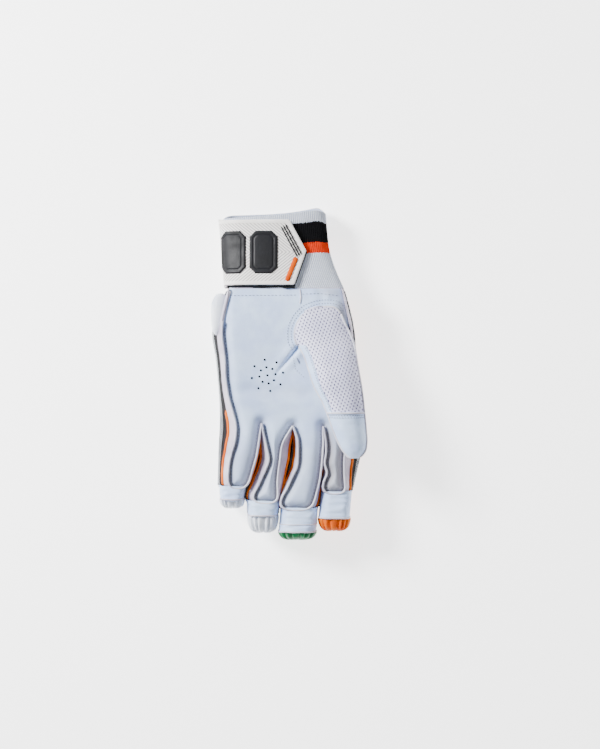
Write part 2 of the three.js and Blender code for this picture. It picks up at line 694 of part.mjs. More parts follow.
// Strap that wraps the wristband from the back, over its outer edge, to a pointed end on the palm side.
function addStrap() {
  const outerEdge = CUFF_LEAN - CUFF_WIDTH / 2;
  const point = outerEdge + STRAP_REACH;
  const y0 = STRAP_START;
  const y1 = STRAP_START + STRAP_WIDTH;
  const gripY = (y0 + y1) / 2;
  const pointY = gripY + POINT_RISE;
  const shoulder = point - STRAP_POINT;
  const lowShoulder = point - STRAP_POINT_LOW;
  // Height at which the strap turns from the back of the wristband to its front
  const side = cuffSection(gripY / CUFF_LENGTH, 0);
  const turned = (side.bottom + side.top) / 2;
  const back = outerEdge + STRAP_RETURN;
  const under = (low, high) => prism([[-FAR, low], [back, low], [back, high], [-FAR, high]], -FAR, turned);
  const over = (inset, low, high) => {
    const [lowX, tipX, highX] = [lowShoulder - inset, point - inset, shoulder - inset];
    const outline = [[-FAR, low], [lowX, low], [tipX, pointY], [highX, high], [-FAR, high]];
    return prism(outline, turned - BEYOND_SEAM, FAR);
  };
  const onCuff = (inner, outer) => cuffBody(outer, OVERRUN).subtract(cuffBody(inner, 2 * OVERRUN));
  const tapeTop = SEAM_GAP + TAPE;
  const patchTop = tapeTop + SEAM_GAP + PATCH;
  const tapeLow = y0 - TAPE_SHOW;
  const tapeHigh = y1 - TAPE_INSET;
  const tapeZone = over(TAPE_INSET, tapeLow, tapeHigh).add(under(tapeLow, tapeHigh));
  const tape = onCuff(SEAM_GAP, tapeTop).intersect(tapeZone);
  add('strap_tape', largest(tape.intersect(slab(SEAM_GAP, FAR))), looks.tape);
  const patch = onCuff(tapeTop + SEAM_GAP, patchTop).intersect(over(0, y0, y1).add(under(y0, y1)));
  add('strap_patch', largest(patch), looks.rubber);

  const raised = onCuff(patchTop + SEAM_GAP, patchTop + SEAM_GAP + RELIEF);
  const onTop = (outline) => largest(raised.intersect(prism(outline, turned, FAR)));
  for (const [i, name] of ['inner', 'outer'].entries()) {
    const x = point - GRIP_INSET - i * GRIP_SPACING;
    add(`strap_grip_${name}`, onTop(chamfered(x, gripY, GRIP_WIDTH, GRIP_HEIGHT, GRIP_CORNER)), looks.dark);
  }
  // Thin lines run beside the upper edge of the point, and an orange bar beside the lower one.
  const upper = new THREE.Vector2(shoulder - point, y1 - pointY).normalize();
  const lower = new THREE.Vector2(lowShoulder - point, y0 - pointY).normalize();
  const ribbon = (start, direction, length, width) => {
    const half = new THREE.Vector2(-direction.y, direction.x).multiplyScalar(width / 2);
    const end = start.clone().addScaledVector(direction, length);
    const corners = [start.clone().add(half), end.clone().add(half), end.clone().sub(half), start.clone().sub(half)];
    return corners.map((corner) => [corner.x, corner.y]);
  };
  for (let i = 0; i < LINE_COUNT; i++) {
    const start = new THREE.Vector2(point - EDGE_INSET - i * LINE_PITCH, pointY - (i + 0.5) * LINE_PITCH);
    add(`strap_line_${i + 1}`, onTop(ribbon(start, upper, LINE_LENGTH, LINE_WIDTH)), looks.dark);
  }
  const barStart = new THREE.Vector2(point - BAR_BACK, pointY - BAR_DOWN);
  add('strap_bar', onTop(ribbon(barStart, lower, BAR_LENGTH, BAR_WIDTH)), looks.orange);
}

addHand();
addFingertips();
addRolls();
addBolster();
addThumb();
addWristband();
addStrap();

const footprint = new THREE.Box3().setFromObject(glove);
const centre = footprint.getCenter(new THREE.Vector3());
glove.position.set(-centre.x, -centre.y, -footprint.min.z);

export default glove;
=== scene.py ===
"""Looks of a left-hand cricket batting glove that lies palm up on its padded back.

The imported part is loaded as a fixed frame. Every piece here is built in millimetres on the glove's own axes
(across to the thumb side, down from the wrist seam to the fingertips, height above the floor) and then placed
in the frame's axes, in metres.
"""

import logging
import math
from dataclasses import dataclass, field
from enum import Enum
from typing import Callable, Union

import bpy
import numpy as np
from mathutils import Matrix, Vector, noise

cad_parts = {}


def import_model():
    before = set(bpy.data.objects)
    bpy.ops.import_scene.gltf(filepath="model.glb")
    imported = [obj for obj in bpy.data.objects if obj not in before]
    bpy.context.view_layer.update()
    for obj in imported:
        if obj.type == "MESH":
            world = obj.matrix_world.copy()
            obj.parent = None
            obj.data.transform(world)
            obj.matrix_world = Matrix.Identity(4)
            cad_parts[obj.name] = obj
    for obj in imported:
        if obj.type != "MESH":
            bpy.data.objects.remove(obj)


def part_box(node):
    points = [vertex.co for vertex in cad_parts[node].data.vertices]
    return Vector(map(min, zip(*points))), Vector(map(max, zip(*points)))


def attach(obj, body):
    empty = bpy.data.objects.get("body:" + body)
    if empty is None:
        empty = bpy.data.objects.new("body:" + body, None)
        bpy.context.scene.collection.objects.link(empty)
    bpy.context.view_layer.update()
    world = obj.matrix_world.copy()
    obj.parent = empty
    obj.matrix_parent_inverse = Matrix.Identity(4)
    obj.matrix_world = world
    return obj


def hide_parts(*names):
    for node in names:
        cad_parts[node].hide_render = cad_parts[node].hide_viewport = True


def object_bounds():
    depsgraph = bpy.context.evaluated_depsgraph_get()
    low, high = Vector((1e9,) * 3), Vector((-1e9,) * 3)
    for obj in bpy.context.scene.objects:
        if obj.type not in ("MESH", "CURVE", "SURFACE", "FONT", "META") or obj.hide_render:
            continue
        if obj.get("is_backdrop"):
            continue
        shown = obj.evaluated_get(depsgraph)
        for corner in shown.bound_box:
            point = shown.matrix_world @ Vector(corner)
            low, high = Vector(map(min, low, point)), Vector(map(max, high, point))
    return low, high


LOG = logging.getLogger("glove")
MM = 0.001
SEAM_GAP = 0.3  # left by the solids between neighbouring pieces
WRIST_WIDTH = 97.0  # of the wristband at its seam
NEARLY_NOTHING = 1e-9  # keeps a division by a length safe
STITCH_STEP = 0.4  # between the points that a row of stitches is cut from
STITCH_SWELL = 0.35  # share of the thread's width that a stitch rises in its middle
CORD_TAPER = 0.35  # size of a cord's closed ends, as a share of its section

Value = Union[bpy.types.NodeSocket, float, tuple[float, ...]]


@dataclass(frozen=True)
class Profile:
    """A smooth curve through a few given (place, value) pairs, with rising places."""

    pairs: tuple[tuple[float, float], ...]

    def __call__(self, place: np.ndarray | float) -> np.ndarray:
        """Reads the curve.

        Args:
            place: One place or an array of places, held to the first and the last pair.

        Returns:
            The value at each place, as an array of the same shape.
        """
        at = np.array([p for p, _ in self.pairs])
        value = np.array([v for _, v in self.pairs])
        slope = np.gradient(value, at)
        x = np.clip(np.asarray(place, dtype=float), at[0], at[-1])
        i = np.clip(np.searchsorted(at, x, side="right") - 1, 0, len(at) - 2)
        step = at[i + 1] - at[i]
        t = (x - at[i]) / step
        rise = value[i] * (2 * t**3 - 3 * t**2 + 1) + value[i + 1] * (3 * t**2 - 2 * t**3)
        return rise + step * (slope[i] * (t**3 - 2 * t**2 + t) + slope[i + 1] * (t**3 - t**2))


@dataclass(frozen=True)
class GloveAxes:
    """The glove's own axes inside the frame, found from the wristband's solid."""

    middle: float
    seam: float

    @classmethod
    def from_frame(cls) -> "GloveAxes":
        """Finds the middle of the wrist and the wrist seam from the wristband's box."""
        low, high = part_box("wristband")
        return cls(middle=high[0] - WRIST_WIDTH / 2 * MM, seam=low[1] - SEAM_GAP * MM)

    def place(self, points: np.ndarray) -> np.ndarray:
        """Turns glove points into frame points.

        Args:
            points: Array (..., 3) of across, down and height, in millimetres.

        Returns:
            Array (..., 3) of x, y and z, in metres.
        """
        across, down, height = np.moveaxis(np.asarray(points, dtype=float), -1, 0)
        return surface(self.middle + across * MM, self.seam - down * MM, height * MM)

    def box(self, node: str) -> tuple[tuple[float, float], tuple[float, float], tuple[float, float]]:
        """Box of a solid on the glove's axes.

        Args:
            node: The solid's name.

        Returns:
            Its least and greatest place across, down and up, in millimetres.
        """
        low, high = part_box(node)
        across = ((low[0] - self.middle) / MM, (high[0] - self.middle) / MM)
        down = ((self.seam - high[1]) / MM, (self.seam - low[1]) / MM)
        return across, down, (low[2] / MM, high[2] / MM)


def wrinkle(points: np.ndarray, size: float, seed: float = 0.0) -> np.ndarray:
    """Smooth random heights for folds and unevenness.

    Args:
        points: Array (..., 3) in millimetres.
        size: Size of the unevenness in millimetres.
        seed: Shifts the pattern.

    Returns:
        Array of values between about -1 and 1.
    """
    flat = np.asarray(points, dtype=float).reshape(-1, 3) / size + seed
    values = np.array([noise.noise(Vector(p)) for p in flat])
    return values.reshape(np.asarray(points).shape[:-1])


def unit(vectors: np.ndarray) -> np.ndarray:
    """Vectors of length 1 in the same directions."""
    return vectors / np.maximum(np.linalg.norm(vectors, axis=-1, keepdims=True), NEARLY_NOTHING)


def lengths_along(path: np.ndarray) -> np.ndarray:
    """Distance along a path from its start to each of its points."""
    return np.r_[0, np.cumsum(np.linalg.norm(np.diff(path, axis=0), axis=1))]


def points_along(path: np.ndarray, at: np.ndarray) -> np.ndarray:
    """Points of a path at distances from its start."""
    lengths = lengths_along(path)
    return np.stack([np.interp(at, lengths, values) for values in path.T], axis=1)


def resample(path: np.ndarray, step: float, closed: bool = False) -> np.ndarray:
    """Spaces the points of a path evenly.

    Args:
        path: Array (n, k) of points.
        step: Wanted distance between points.
        closed: True if the path returns to its start.

    Returns:
        Array (m, k) of evenly spaced points.
    """
    path = np.asarray(path, dtype=float)
    if closed:
        path = np.vstack([path, path[:1]])
    length = lengths_along(path)[-1]
    made = points_along(path, np.linspace(0, length, max(2, int(round(length / step)) + 1)))
    return made[:-1] if closed else made


def soften(path: np.ndarray, rounds: int = 2) -> np.ndarray:
    """Rounds the corners of an open path by cutting them, keeping its two ends.

    Args:
        path: Array (n, k) of points.
        rounds: How often every corner is cut.

    Returns:
        Array of points, about twice as many after each round.
    """
    path = np.asarray(path, dtype=float)
    for _ in range(rounds):
        near = 0.75 * path[:-1] + 0.25 * path[1:]
        far = 0.25 * path[:-1] + 0.75 * path[1:]
        inner = np.empty((2 * len(near), path.shape[1]))
        inner[0::2] = near
        inner[1::2] = far
        path = np.vstack([path[:1], inner, path[-1:]])
    return path


def distance_to(points: np.ndarray, lines: list[np.ndarray]) -> np.ndarray:
    """Distance in plan from points to the nearest of some lines.

    Args:
        points: Array (..., 2) of across and down.
        lines: Paths, each an array (n, 2) or (n, 3).

    Returns:
        Array of distances in millimetres.
    """
    flat = np.asarray(points, dtype=float)[..., :2].reshape(-1, 2)
    best = np.full(len(flat), np.inf)
    for line in lines:
        start, end = line[:-1, :2], line[1:, :2]
        for a, b in zip(start, end):
            along = b - a
            t = np.clip((flat - a) @ along / max(along @ along, NEARLY_NOTHING), 0, 1)
            best = np.minimum(best, np.linalg.norm(flat - a - t[:, None] * along, axis=1))
    return best.reshape(np.asarray(points).shape[:-1])


def climb(value: np.ndarray, start: float, over: float) -> np.ndarray:
    """Share from 0 at the start to 1 a distance further on, and held there."""
    return np.clip((value - start) / over, 0, 1)


def mound(
    across: np.ndarray, down: np.ndarray, middle: tuple[float, float], reach: tuple[float, float]
) -> np.ndarray:
    """Share from 1 at the middle of a soft oval to 0 far outside it."""
    return np.exp(-(((across - middle[0]) / reach[0]) ** 2) - ((down - middle[1]) / reach[1]) ** 2)


def surface(across: np.ndarray, down: np.ndarray, height: np.ndarray) -> np.ndarray:
    """Grid of points (rows, columns, 3) from places that may be given once for a row or a column."""
    return np.stack(np.broadcast_arrays(across, down, height), axis=-1)


def quads_of(rows: int, columns: int, first: int = 0) -> list[list[int]]:
    """Faces of a grid of points.

    Args:
        rows: Rows of the grid.
        columns: Points in a row.
        first: Number of its first point.

    Returns:
        Four corner numbers for each face, row by row.
    """
    number = np.arange(rows * columns).reshape(rows, columns) + first
    corners = [number[:-1, :-1], number[1:, :-1], number[1:, 1:], number[:-1, 1:]]
    return np.stack(corners, axis=-1).reshape(-1, 4).tolist()


@dataclass
class Maker:
    """Builds meshes on the glove's axes and puts them in the frame."""

    axes: GloveAxes

    def mesh(
        self, name: str, points: np.ndarray, faces: list, uv: np.ndarray | None = None
    ) -> bpy.types.Object:
        """Makes one smooth-shaded mesh object.

        Args:
            name: Piece name.
            points: Array (n, 3) in millimetres on the glove's axes.
            faces: Lists of corner numbers.
            uv: Optional array (n, 2) with a place on the surface for each point, in millimetres.

        Returns:
            The new object, linked to the scene.
        """
        data = bpy.data.meshes.new(name)
        data.from_pydata(self.axes.place(points).tolist(), [], [list(f) for f in faces])
        if uv is not None:
            layer = data.uv_layers.new(name="surface")
            corners = np.empty(len(data.loops), dtype=np.int32)
            data.loops.foreach_get("vertex_index", corners)
            layer.data.foreach_set("uv", (np.asarray(uv)[corners] * MM).astype(np.float32).ravel())
        data.polygons.foreach_set("use_smooth", np.ones(len(data.polygons), dtype=bool))
        data.update()
        made = bpy.data.objects.new(name, data)
        bpy.context.scene.collection.objects.link(made)
        return made

    def sheet(
        self, name: str, grid: np.ndarray, round_across: bool = False, uv: np.ndarray | None = None
    ) -> bpy.types.Object:
        """Makes a surface from a grid of points.

        Args:
            name: Piece name.
            grid: Array (rows, columns, 3) in millimetres.
            round_across: True if the last column joins the first.
            uv: Optional array (rows, columns, 2); distances along the grid by default.

        Returns:
            The new object.
        """
        rows, columns = grid.shape[:2]
        if round_across:
            grid = np.concatenate([grid, grid[:, :1]], axis=1)
            columns += 1
        if uv is None:
            across = np.linalg.norm(np.diff(grid, axis=1), axis=2).mean(axis=0)
            down = np.linalg.norm(np.diff(grid, axis=0), axis=2).mean(axis=1)
            u, v = np.meshgrid(np.r_[0, np.cumsum(across)], np.r_[0, np.cumsum(down)])
            uv = np.stack([u, v], axis=-1)
        made = self.mesh(name, grid.reshape(-1, 3), quads_of(rows, columns), uv.reshape(-1, 2))
        if round_across:
            weld(made)
        return made

    def tube(
        self, name: str, path: np.ndarray, across: float, height: float, sides: int = 8, closed: bool = False
    ) -> bpy.types.Object:
        """Makes a cord of oval section along a path, with closed ends that taper.

        Args:
            name: Piece name.
            path: Array (n, 3) in millimetres.
            across: Width in plan.
            height: Height.
            sides: Corners round the section.
            closed: True if the path is a ring.

        Returns:
            The new object.
        """
        points, faces, uv = tube_parts(path, across, height, sides, closed)
        return self.mesh(name, points, faces, uv)

    def stitches(
        self, name: str, path: np.ndarray, length: float, gap: float, width: float
    ) -> bpy.types.Object:
        """Makes a row of stitches along a path that lies on a surface.

        Args:
            name: Piece name.
            path: Array (n, 3) in millimetres.
            length: Length of a stitch.
            gap: Space between stitches.
            width: Thickness of the thread.

        Returns:
            The new object.
        """
        fine = resample(path, STITCH_STEP)
        per = max(2, int(round((length + gap) / STITCH_STEP)))
        run = max(2, int(round(length / STITCH_STEP)))
        points, faces, uvs, count = [], [], [], 0
        for start in range(0, len(fine) - run, per):
            piece = fine[start : start + run + 1].copy()
            piece[:, 2] += np.sin(np.linspace(0, math.pi, len(piece))) * width * STITCH_SWELL
            stitch, sides, uv = tube_parts(resample(piece, length / 4), width, width, 5, False)
            faces += [[i + count for i in face] for face in sides]
            count += len(stitch)
            points.append(stitch)
            uvs.append(uv)
        return self.mesh(name, np.vstack(points), faces, np.vstack(uvs))


def tube_parts(
    path: np.ndarray, across: float, height: float, sides: int, closed: bool
) -> tuple[np.ndarray, list, np.ndarray]:
    """Works out the points and faces of a cord along a path.

    Args:
        path: Array (n, 3) in millimetres.
        across: Width in plan.
        height: Height.
        sides: Corners round the section.
        closed: True if the path is a ring.

    Returns:
        Points, faces and surface places.
    """
    path = np.asarray(path, dtype=float)
    if closed:
        ahead = np.roll(path, -1, axis=0) - np.roll(path, 1, axis=0)
    else:
        ahead = np.gradient(path, axis=0)
    ahead = unit(ahead)
    side = unit(np.cross(ahead, [0.0, 0.0, 1.0]))
    up = np.cross(side, ahead)
    count = len(path)
    taper = np.ones(count)
    if not closed:
        taper[0] = taper[-1] = CORD_TAPER
    angle = np.arange(sides) / sides * 2 * math.pi
    rings = (
        path[:, None]
        + side[:, None] * (np.cos(angle)[None, :, None] * across / 2 * taper[:, None, None])
        + up[:, None] * (np.sin(angle)[None, :, None] * height / 2 * taper[:, None, None])
    )
    points = rings.reshape(-1, 3)
    faces = []
    last = count if closed else count - 1
    for r in range(last):
        for s in range(sides):
            t = (s + 1) % sides
            n = (r + 1) % count
            faces.append([r * sides + s, r * sides + t, n * sides + t, n * sides + s])
    round_it = np.tile(angle * (across + height) / 4, count)
    uv = np.stack([np.repeat(lengths_along(path), sides), round_it], axis=1)
    if not closed:
        faces.append(list(range(sides))[::-1])
        faces.append([(count - 1) * sides + s for s in range(sides)])
    return points, faces, uv


def weld(piece: bpy.types.Object, reach: float = 1e-6) -> None:
    """Joins points of a piece that lie on each other."""
    change = piece.modifiers.new("weld", "WELD")
    change.merge_threshold = reach


def thicken(piece: bpy.types.Object, thickness: float, offset: float = -1.0) -> None:
    """Gives a surface a real thickness.

    Args:
        piece: The surface.
        thickness: In millimetres.
        offset: -1 grows to the back of the surface, 1 to its front.
    """
    change = piece.modifiers.new("thickness", "SOLIDIFY")
    change.thickness = thickness * MM
    change.offset = offset
    change.use_even_offset = False


def linear(red: int, green: int, blue: int) -> tuple[float, float, float, float]:
    """Turns a screen colour of 0 to 255 into the shader's linear colour."""
    parts = [c / 255 for c in (red, green, blue)]
    return (*[c / 12.92 if c <= 0.04045 else ((c + 0.055) / 1.055) ** 2.4 for c in parts], 1.0)


@dataclass
class Wiring:
    """Short ways to add and join shader nodes in one tree."""

    tree: bpy.types.NodeTree

    def add(self, kind: str, **settings: object) -> bpy.types.Node:
        """Adds a node.

        Args:
            kind: Blender's name for the node.
            settings: The node's own settings by name.

        Returns:
            The new node.
        """
        made = self.tree.nodes.new(kind)
        for key, value in settings.items():
            setattr(made, key, value)
        return made

    def put(self, target: bpy.types.NodeSocket, value: Value) -> None:
        """Feeds an input.

        Args:
            target: The input socket.
            value: A socket to link to it, or a plain value to set.
        """
        if isinstance(value, bpy.types.NodeSocket):
            self.tree.links.new(value, target)
        else:
            target.default_value = value

    def math(self, what: str, *values: Value) -> bpy.types.NodeSocket:
        """Adds one arithmetic step.

        Args:
            what: Blender's name for the step.
            values: Its numbers or sockets.

        Returns:
            The socket with the result.
        """
        made = self.add("ShaderNodeMath", operation=what)
        for socket, value in zip(made.inputs, values):
            self.put(socket, value)
        return made.outputs[0]

    def blend(self, amount: Value, first: Value, second: Value) -> bpy.types.NodeSocket:
        """Mixes two colours.

        Args:
            amount: From 0, all of the first, to 1, all of the second.
            first: A colour.
            second: Another colour.

        Returns:
            The socket with the mixed colour.
        """
        made = self.add("ShaderNodeMix", data_type="RGBA")
        self.put(made.inputs["Factor"], amount)
        self.put(made.inputs[6], first)
        self.put(made.inputs[7], second)
        return made.outputs[2]

    def span(
        self, value: Value, low: Value, high: Value, out_low: float = 0.0, out_high: float = 1.0
    ) -> bpy.types.NodeSocket:
        """Maps a range of a value to another range, smoothly and held at its ends.

        Args:
            value: The value.
            low: Start of its range.
            high: End of its range.
            out_low: What the start becomes.
            out_high: What the end becomes.

        Returns:
            The socket with the mapped value.
        """
        made = self.add("ShaderNodeMapRange", interpolation_type="SMOOTHSTEP")
        for socket, number in zip(made.inputs, (value, low, high, out_low, out_high)):
            self.put(socket, number)
        return made.outputs[0]


class Effect(Enum):
    """Surface effects that several finishes share, each a node group."""

    GRAIN = "leather_grain"
    CELLS = "pressed_cells"
    DOTS = "punched_dots"
    RIBS = "knitted_ribs"
    BANDS = "colour_bands"
    WEAVE = "open_weave"

    def group(self) -> bpy.types.NodeTree:
        """Gives the effect's node group, built on first use."""
        known = bpy.data.node_groups.get(self.value)
        return known or EFFECT_BUILDERS[self](self.value)


def new_group(name: str, inputs: dict[str, float], outputs: list[str]) -> tuple[Wiring, dict, dict]:
    """Starts a shader node group.

    Args:
        name: Group name.
        inputs: Input names with their usual values.
        outputs: Output names.

    Returns:
        The wiring, the input sockets and the output sockets by name.
    """
    tree = bpy.data.node_groups.new(name, "ShaderNodeTree")
    for key, value in inputs.items():
        tree.interface.new_socket(key, in_out="INPUT", socket_type="NodeSocketFloat").default_value = value
    for key in outputs:
        tree.interface.new_socket(key, in_out="OUTPUT", socket_type="NodeSocketFloat")
    wiring = Wiring(tree)
    start = wiring.add("NodeGroupInput")
    end = wiring.add("NodeGroupOutput")
    return wiring, {k: start.outputs[k] for k in inputs}, {k: end.inputs[k] for k in outputs}


def surface_place(w: Wiring) -> tuple[bpy.types.NodeSocket, bpy.types.NodeSocket]:
    """Reads a piece's surface map.

    Args:
        w: Wiring of the material or group.

    Returns:
        Sockets with the distances across and along the surface, in millimetres.
    """
    uv = w.add("ShaderNodeUVMap", uv_map="surface")
    parts = w.add("ShaderNodeSeparateXYZ")
    w.tree.links.new(uv.outputs["UV"], parts.inputs[0])
    return w.math("MULTIPLY", parts.outputs[0], 1 / MM), w.math("MULTIPLY", parts.outputs[1], 1 / MM)


def object_noise(
    w: Wiring, scale: Value, detail: float = 3.0, kind: str = "ShaderNodeTexNoise"
) -> bpy.types.Node:
    """Adds a noise or cell texture that is fixed to the object.

    Args:
        w: Wiring of the group.
        scale: Repeats per metre.
        detail: Layers of finer noise.
        kind: Blender's name for the texture.

    Returns:
        The texture's node.
    """
    where = w.add("ShaderNodeTexCoord")
    made = w.add(kind)
    w.tree.links.new(where.outputs["Object"], made.inputs["Vector"])
    w.put(made.inputs["Scale"], scale)
    if "Detail" in made.inputs:
        made.inputs["Detail"].default_value = detail
    return made


def build_grain(name: str) -> bpy.types.NodeTree:
    """Leather grain: small pebbles with pores, and slow patches of tone.

    Args:
        name: Name of the node group.

    Returns:
        The new group.
    """
    w, given, out = new_group(name, {"Size": 0.9, "Patch": 18.0}, ["Height", "Patches"])
    cells = object_noise(w, w.math("DIVIDE", 1000.0, given["Size"]), kind="ShaderNodeTexVoronoi")
    fine = object_noise(w, w.math("DIVIDE", 1900.0, given["Size"]))
    slow = object_noise(w, w.math("DIVIDE", 1000.0, given["Patch"]), 5.0)
    crease = object_noise(w, w.math("DIVIDE", 220.0, given["Size"]), 4.0)
    dimples = w.math("MULTIPLY", cells.outputs["Distance"], -0.55)
    pebbles = w.math("ADD", dimples, w.math("MULTIPLY", fine.outputs[0], 0.5))
    w.put(out["Height"], w.math("ADD", pebbles, w.math("MULTIPLY", crease.outputs[0], 0.7)))
    w.put(out["Patches"], w.span(slow.outputs[0], 0.35, 0.68))
    return w.tree


def build_cells(name: str) -> bpy.types.NodeTree:
    """Six-sided cells pressed into a coated cover.

    Args:
        name: Name of the node group.

    Returns:
        The new group.
    """
    w, given, out = new_group(name, {"Size": 6.0}, ["Height", "Rims"])
    u, v = surface_place(w)
    turn = w.math("DIVIDE", 4 * math.pi / math.sqrt(3), given["Size"])
    leaning = w.math("MULTIPLY", u, math.sqrt(3) / 2)
    half = w.math("MULTIPLY", v, 0.5)
    ways = (v, w.math("ADD", leaning, half), w.math("SUBTRACT", leaning, half))
    waves = [w.math("COSINE", w.math("MULTIPLY", turn, way)) for way in ways]
    total = w.math("ADD", waves[0], w.math("ADD", waves[1], waves[2]))
    w.put(out["Height"], w.span(total, -1.4, 0.4))
    w.put(out["Rims"], w.span(total, -1.35, -0.85, 1.0, 0.0))
    return w.tree


def build_dots(name: str) -> bpy.types.NodeTree:
    """Small holes on a diagonal lattice.

    Args:
        name: Name of the node group.

    Returns:
        The new group.
    """
    w, given, out = new_group(name, {"Across": 3.2, "Down": 4.4, "Fill": 0.5}, ["Holes", "Height"])
    u, v = surface_place(w)
    first = w.math("COSINE", w.math("DIVIDE", w.math("MULTIPLY", u, 2 * math.pi), given["Across"]))
    second = w.math("COSINE", w.math("DIVIDE", w.math("MULTIPLY", v, 2 * math.pi), given["Down"]))
    both = w.math("MULTIPLY", first, second)
    open_from, open_to = w.math("SUBTRACT", given["Fill"], 0.16), w.math("ADD", given["Fill"], 0.1)
    w.put(out["Holes"], w.span(both, open_from, open_to))
    w.put(out["Height"], w.span(both, 0.3, 0.9, 1.0, 0.0))
    return w.tree


def build_ribs(name: str) -> bpy.types.NodeTree:
    """Loops of a towelling knit, on top of ribs that the mesh itself has, with painted shade in the grooves
    between the ribs.

    Args:
        name: Name of the node group.

    Returns:
        The new group.
    """
    w, given, out = new_group(name, {"Pitch": 1.9, "Loop": 0.8}, ["Height", "Fluff"])
    u, v = surface_place(w)
    loop = w.math("SINE", w.math("DIVIDE", w.math("MULTIPLY", v, 2 * math.pi), given["Loop"]))
    rib = w.math("COSINE", w.math("DIVIDE", w.math("MULTIPLY", u, 4 * math.pi), given["Pitch"]))
    fluff = object_noise(w, 1700.0, 6.0)
    knit = w.math("MULTIPLY", w.math("MULTIPLY", loop, rib), 0.3)
    w.put(out["Height"], w.math("ADD", knit, w.math("MULTIPLY", fluff.outputs[0], 1.4)))
    # painted shade: the grooves between the ribs are coloured darker
    crest = w.math("COSINE", w.math("DIVIDE", w.math("MULTIPLY", u, 2 * math.pi), given["Pitch"]))
    shaded = w.span(crest, -1.0, 0.4, 0.1, 1.0)
    w.put(out["Fluff"], w.math("MULTIPLY", w.span(fluff.outputs[0], 0.3, 0.7, 0.35, 1.0), shaded))
    return w.tree


def build_bands(name: str) -> bpy.types.NodeTree:
    """Two colour bands round a knit, with edges that follow the loops.

    Args:
        name: Name of the node group.

    Returns:
        The new group.
    """
    edges = {"Start": 11.0, "Middle": 26.5, "End": 35.5, "Fray": 0.8}
    w, given, out = new_group(name, edges, ["First", "Second"])
    _, v = surface_place(w)
    rough = object_noise(w, 900.0, 2.0)
    swing = w.math("MULTIPLY", given["Fray"], 3.0)
    moved = w.math("ADD", v, w.math("MULTIPLY", w.math("SUBTRACT", rough.outputs[0], 0.5), swing))
    past_start = w.math("GREATER_THAN", moved, given["Start"])
    past_middle = w.math("GREATER_THAN", moved, given["Middle"])
    past_end = w.math("GREATER_THAN", moved, given["End"])
    w.put(out["First"], w.math("SUBTRACT", past_start, past_middle))
    w.put(out["Second"], w.math("SUBTRACT", past_middle, past_end))
    return w.tree


def build_weave(name: str) -> bpy.types.NodeTree:
    """Crossing threads of a small open weave.

    Args:
        name: Name of the node group.

    Returns:
        The new group.
    """
    w, given, out = new_group(name, {"Pitch": 1.3}, ["Height", "Threads"])
    u, v = surface_place(w)
    turn = w.math("DIVIDE", 2 * math.pi, given["Pitch"])
    first = w.math("SINE", w.math("MULTIPLY", w.math("ADD", u, v), turn))
    second = w.math("SINE", w.math("MULTIPLY", w.math("SUBTRACT", u, v), turn))
    woven = w.math("MAXIMUM", first, second)
    w.put(out["Height"], woven)
    w.put(out["Threads"], w.span(woven, 0.2, 0.9))
    return w.tree


EFFECT_BUILDERS = {
    Effect.GRAIN: build_grain,
    Effect.CELLS: build_cells,
    Effect.DOTS: build_dots,
    Effect.RIBS: build_ribs,
    Effect.BANDS: build_bands,
    Effect.WEAVE: build_weave,
}


@dataclass(frozen=True)
class Finish:
    """One surface finish. Subclasses add what the surface shows in colour and relief."""

    name: str
    colour: tuple[int, int, int]
    shade: tuple[int, int, int]
    roughness: float = 0.55
    coat: float = 0.0
    specular: float = 0.4
    relief: float = 0.12  # millimetres of bump
    grain: float = 0.9  # millimetres

    def material(self) -> bpy.types.Material:
        """Gives the finish's material, built on first use."""
        known = bpy.data.materials.get(self.name)
        if known:
            return known
        made = bpy.data.materials.new(self.name)
        made.use_nodes = True
        w = Wiring(made.node_tree)
        shader = made.node_tree.nodes["Principled BSDF"]
        shader.inputs["Coat Weight"].default_value = self.coat
        shader.inputs["Coat Roughness"].default_value = 0.25
        shader.inputs["Specular IOR Level"].default_value = self.specular
        colour, height, roughness = self.dress(w)
        bump = w.add("ShaderNodeBump")
        bump.inputs["Strength"].default_value = 1.0
        bump.inputs["Distance"].default_value = self.relief * MM
        w.put(bump.inputs["Height"], height)
        w.put(shader.inputs["Base Color"], colour)
        w.put(shader.inputs["Roughness"], roughness)
        w.put(shader.inputs["Normal"], bump.outputs[0])
        return made

    def effect(self, w: Wiring, effect: Effect, **values: float) -> bpy.types.Node:
        """Places a shared effect in this finish.

        Args:
            w: Wiring of the material.
            effect: The effect.
            values: This finish's own values for the effect's inputs.

        Returns:
            The effect's node.
        """
        made = w.add("ShaderNodeGroup", node_tree=effect.group())
        for key, value in values.items():
            made.inputs[key].default_value = value
        return made

    def dress(self, w: Wiring) -> tuple[Value, Value, Value]:
        """Works out colour, height and roughness.

        Args:
            w: Wiring of the material.

        Returns:
            Three sockets or values.
        """
        grain = self.effect(w, Effect.GRAIN, Size=self.grain)
        colour = w.blend(grain.outputs["Patches"], linear(*self.colour), linear(*self.shade))
        rough = w.span(grain.outputs["Patches"], 0.0, 1.0, self.roughness - 0.05, self.roughness + 0.08)
        return colour, grain.outputs["Height"], rough


@dataclass(frozen=True)
class CellFinish(Finish):
    """A glossy coated cover pressed with six-sided cells."""

    rim: tuple[int, int, int] = (244, 166, 0)
    cell: float = 6.0

    def dress(self, w: Wiring) -> tuple[Value, Value, Value]:
        """Adds the pressed cells to the leather.

        Args:
            w: Wiring of the material.

        Returns:
            Colour, height and roughness.
        """
        colour, height, rough = super().dress(w)
        cells = self.effect(w, Effect.CELLS, Size=self.cell)
        colour = w.blend(w.math("MULTIPLY", cells.outputs["Rims"], 0.8), colour, linear(*self.rim))
        pressed = w.math("MULTIPLY", cells.outputs["Height"], 4.0)
        height = w.math("ADD", pressed, w.math("MULTIPLY", height, 0.6))
        return colour, height, rough


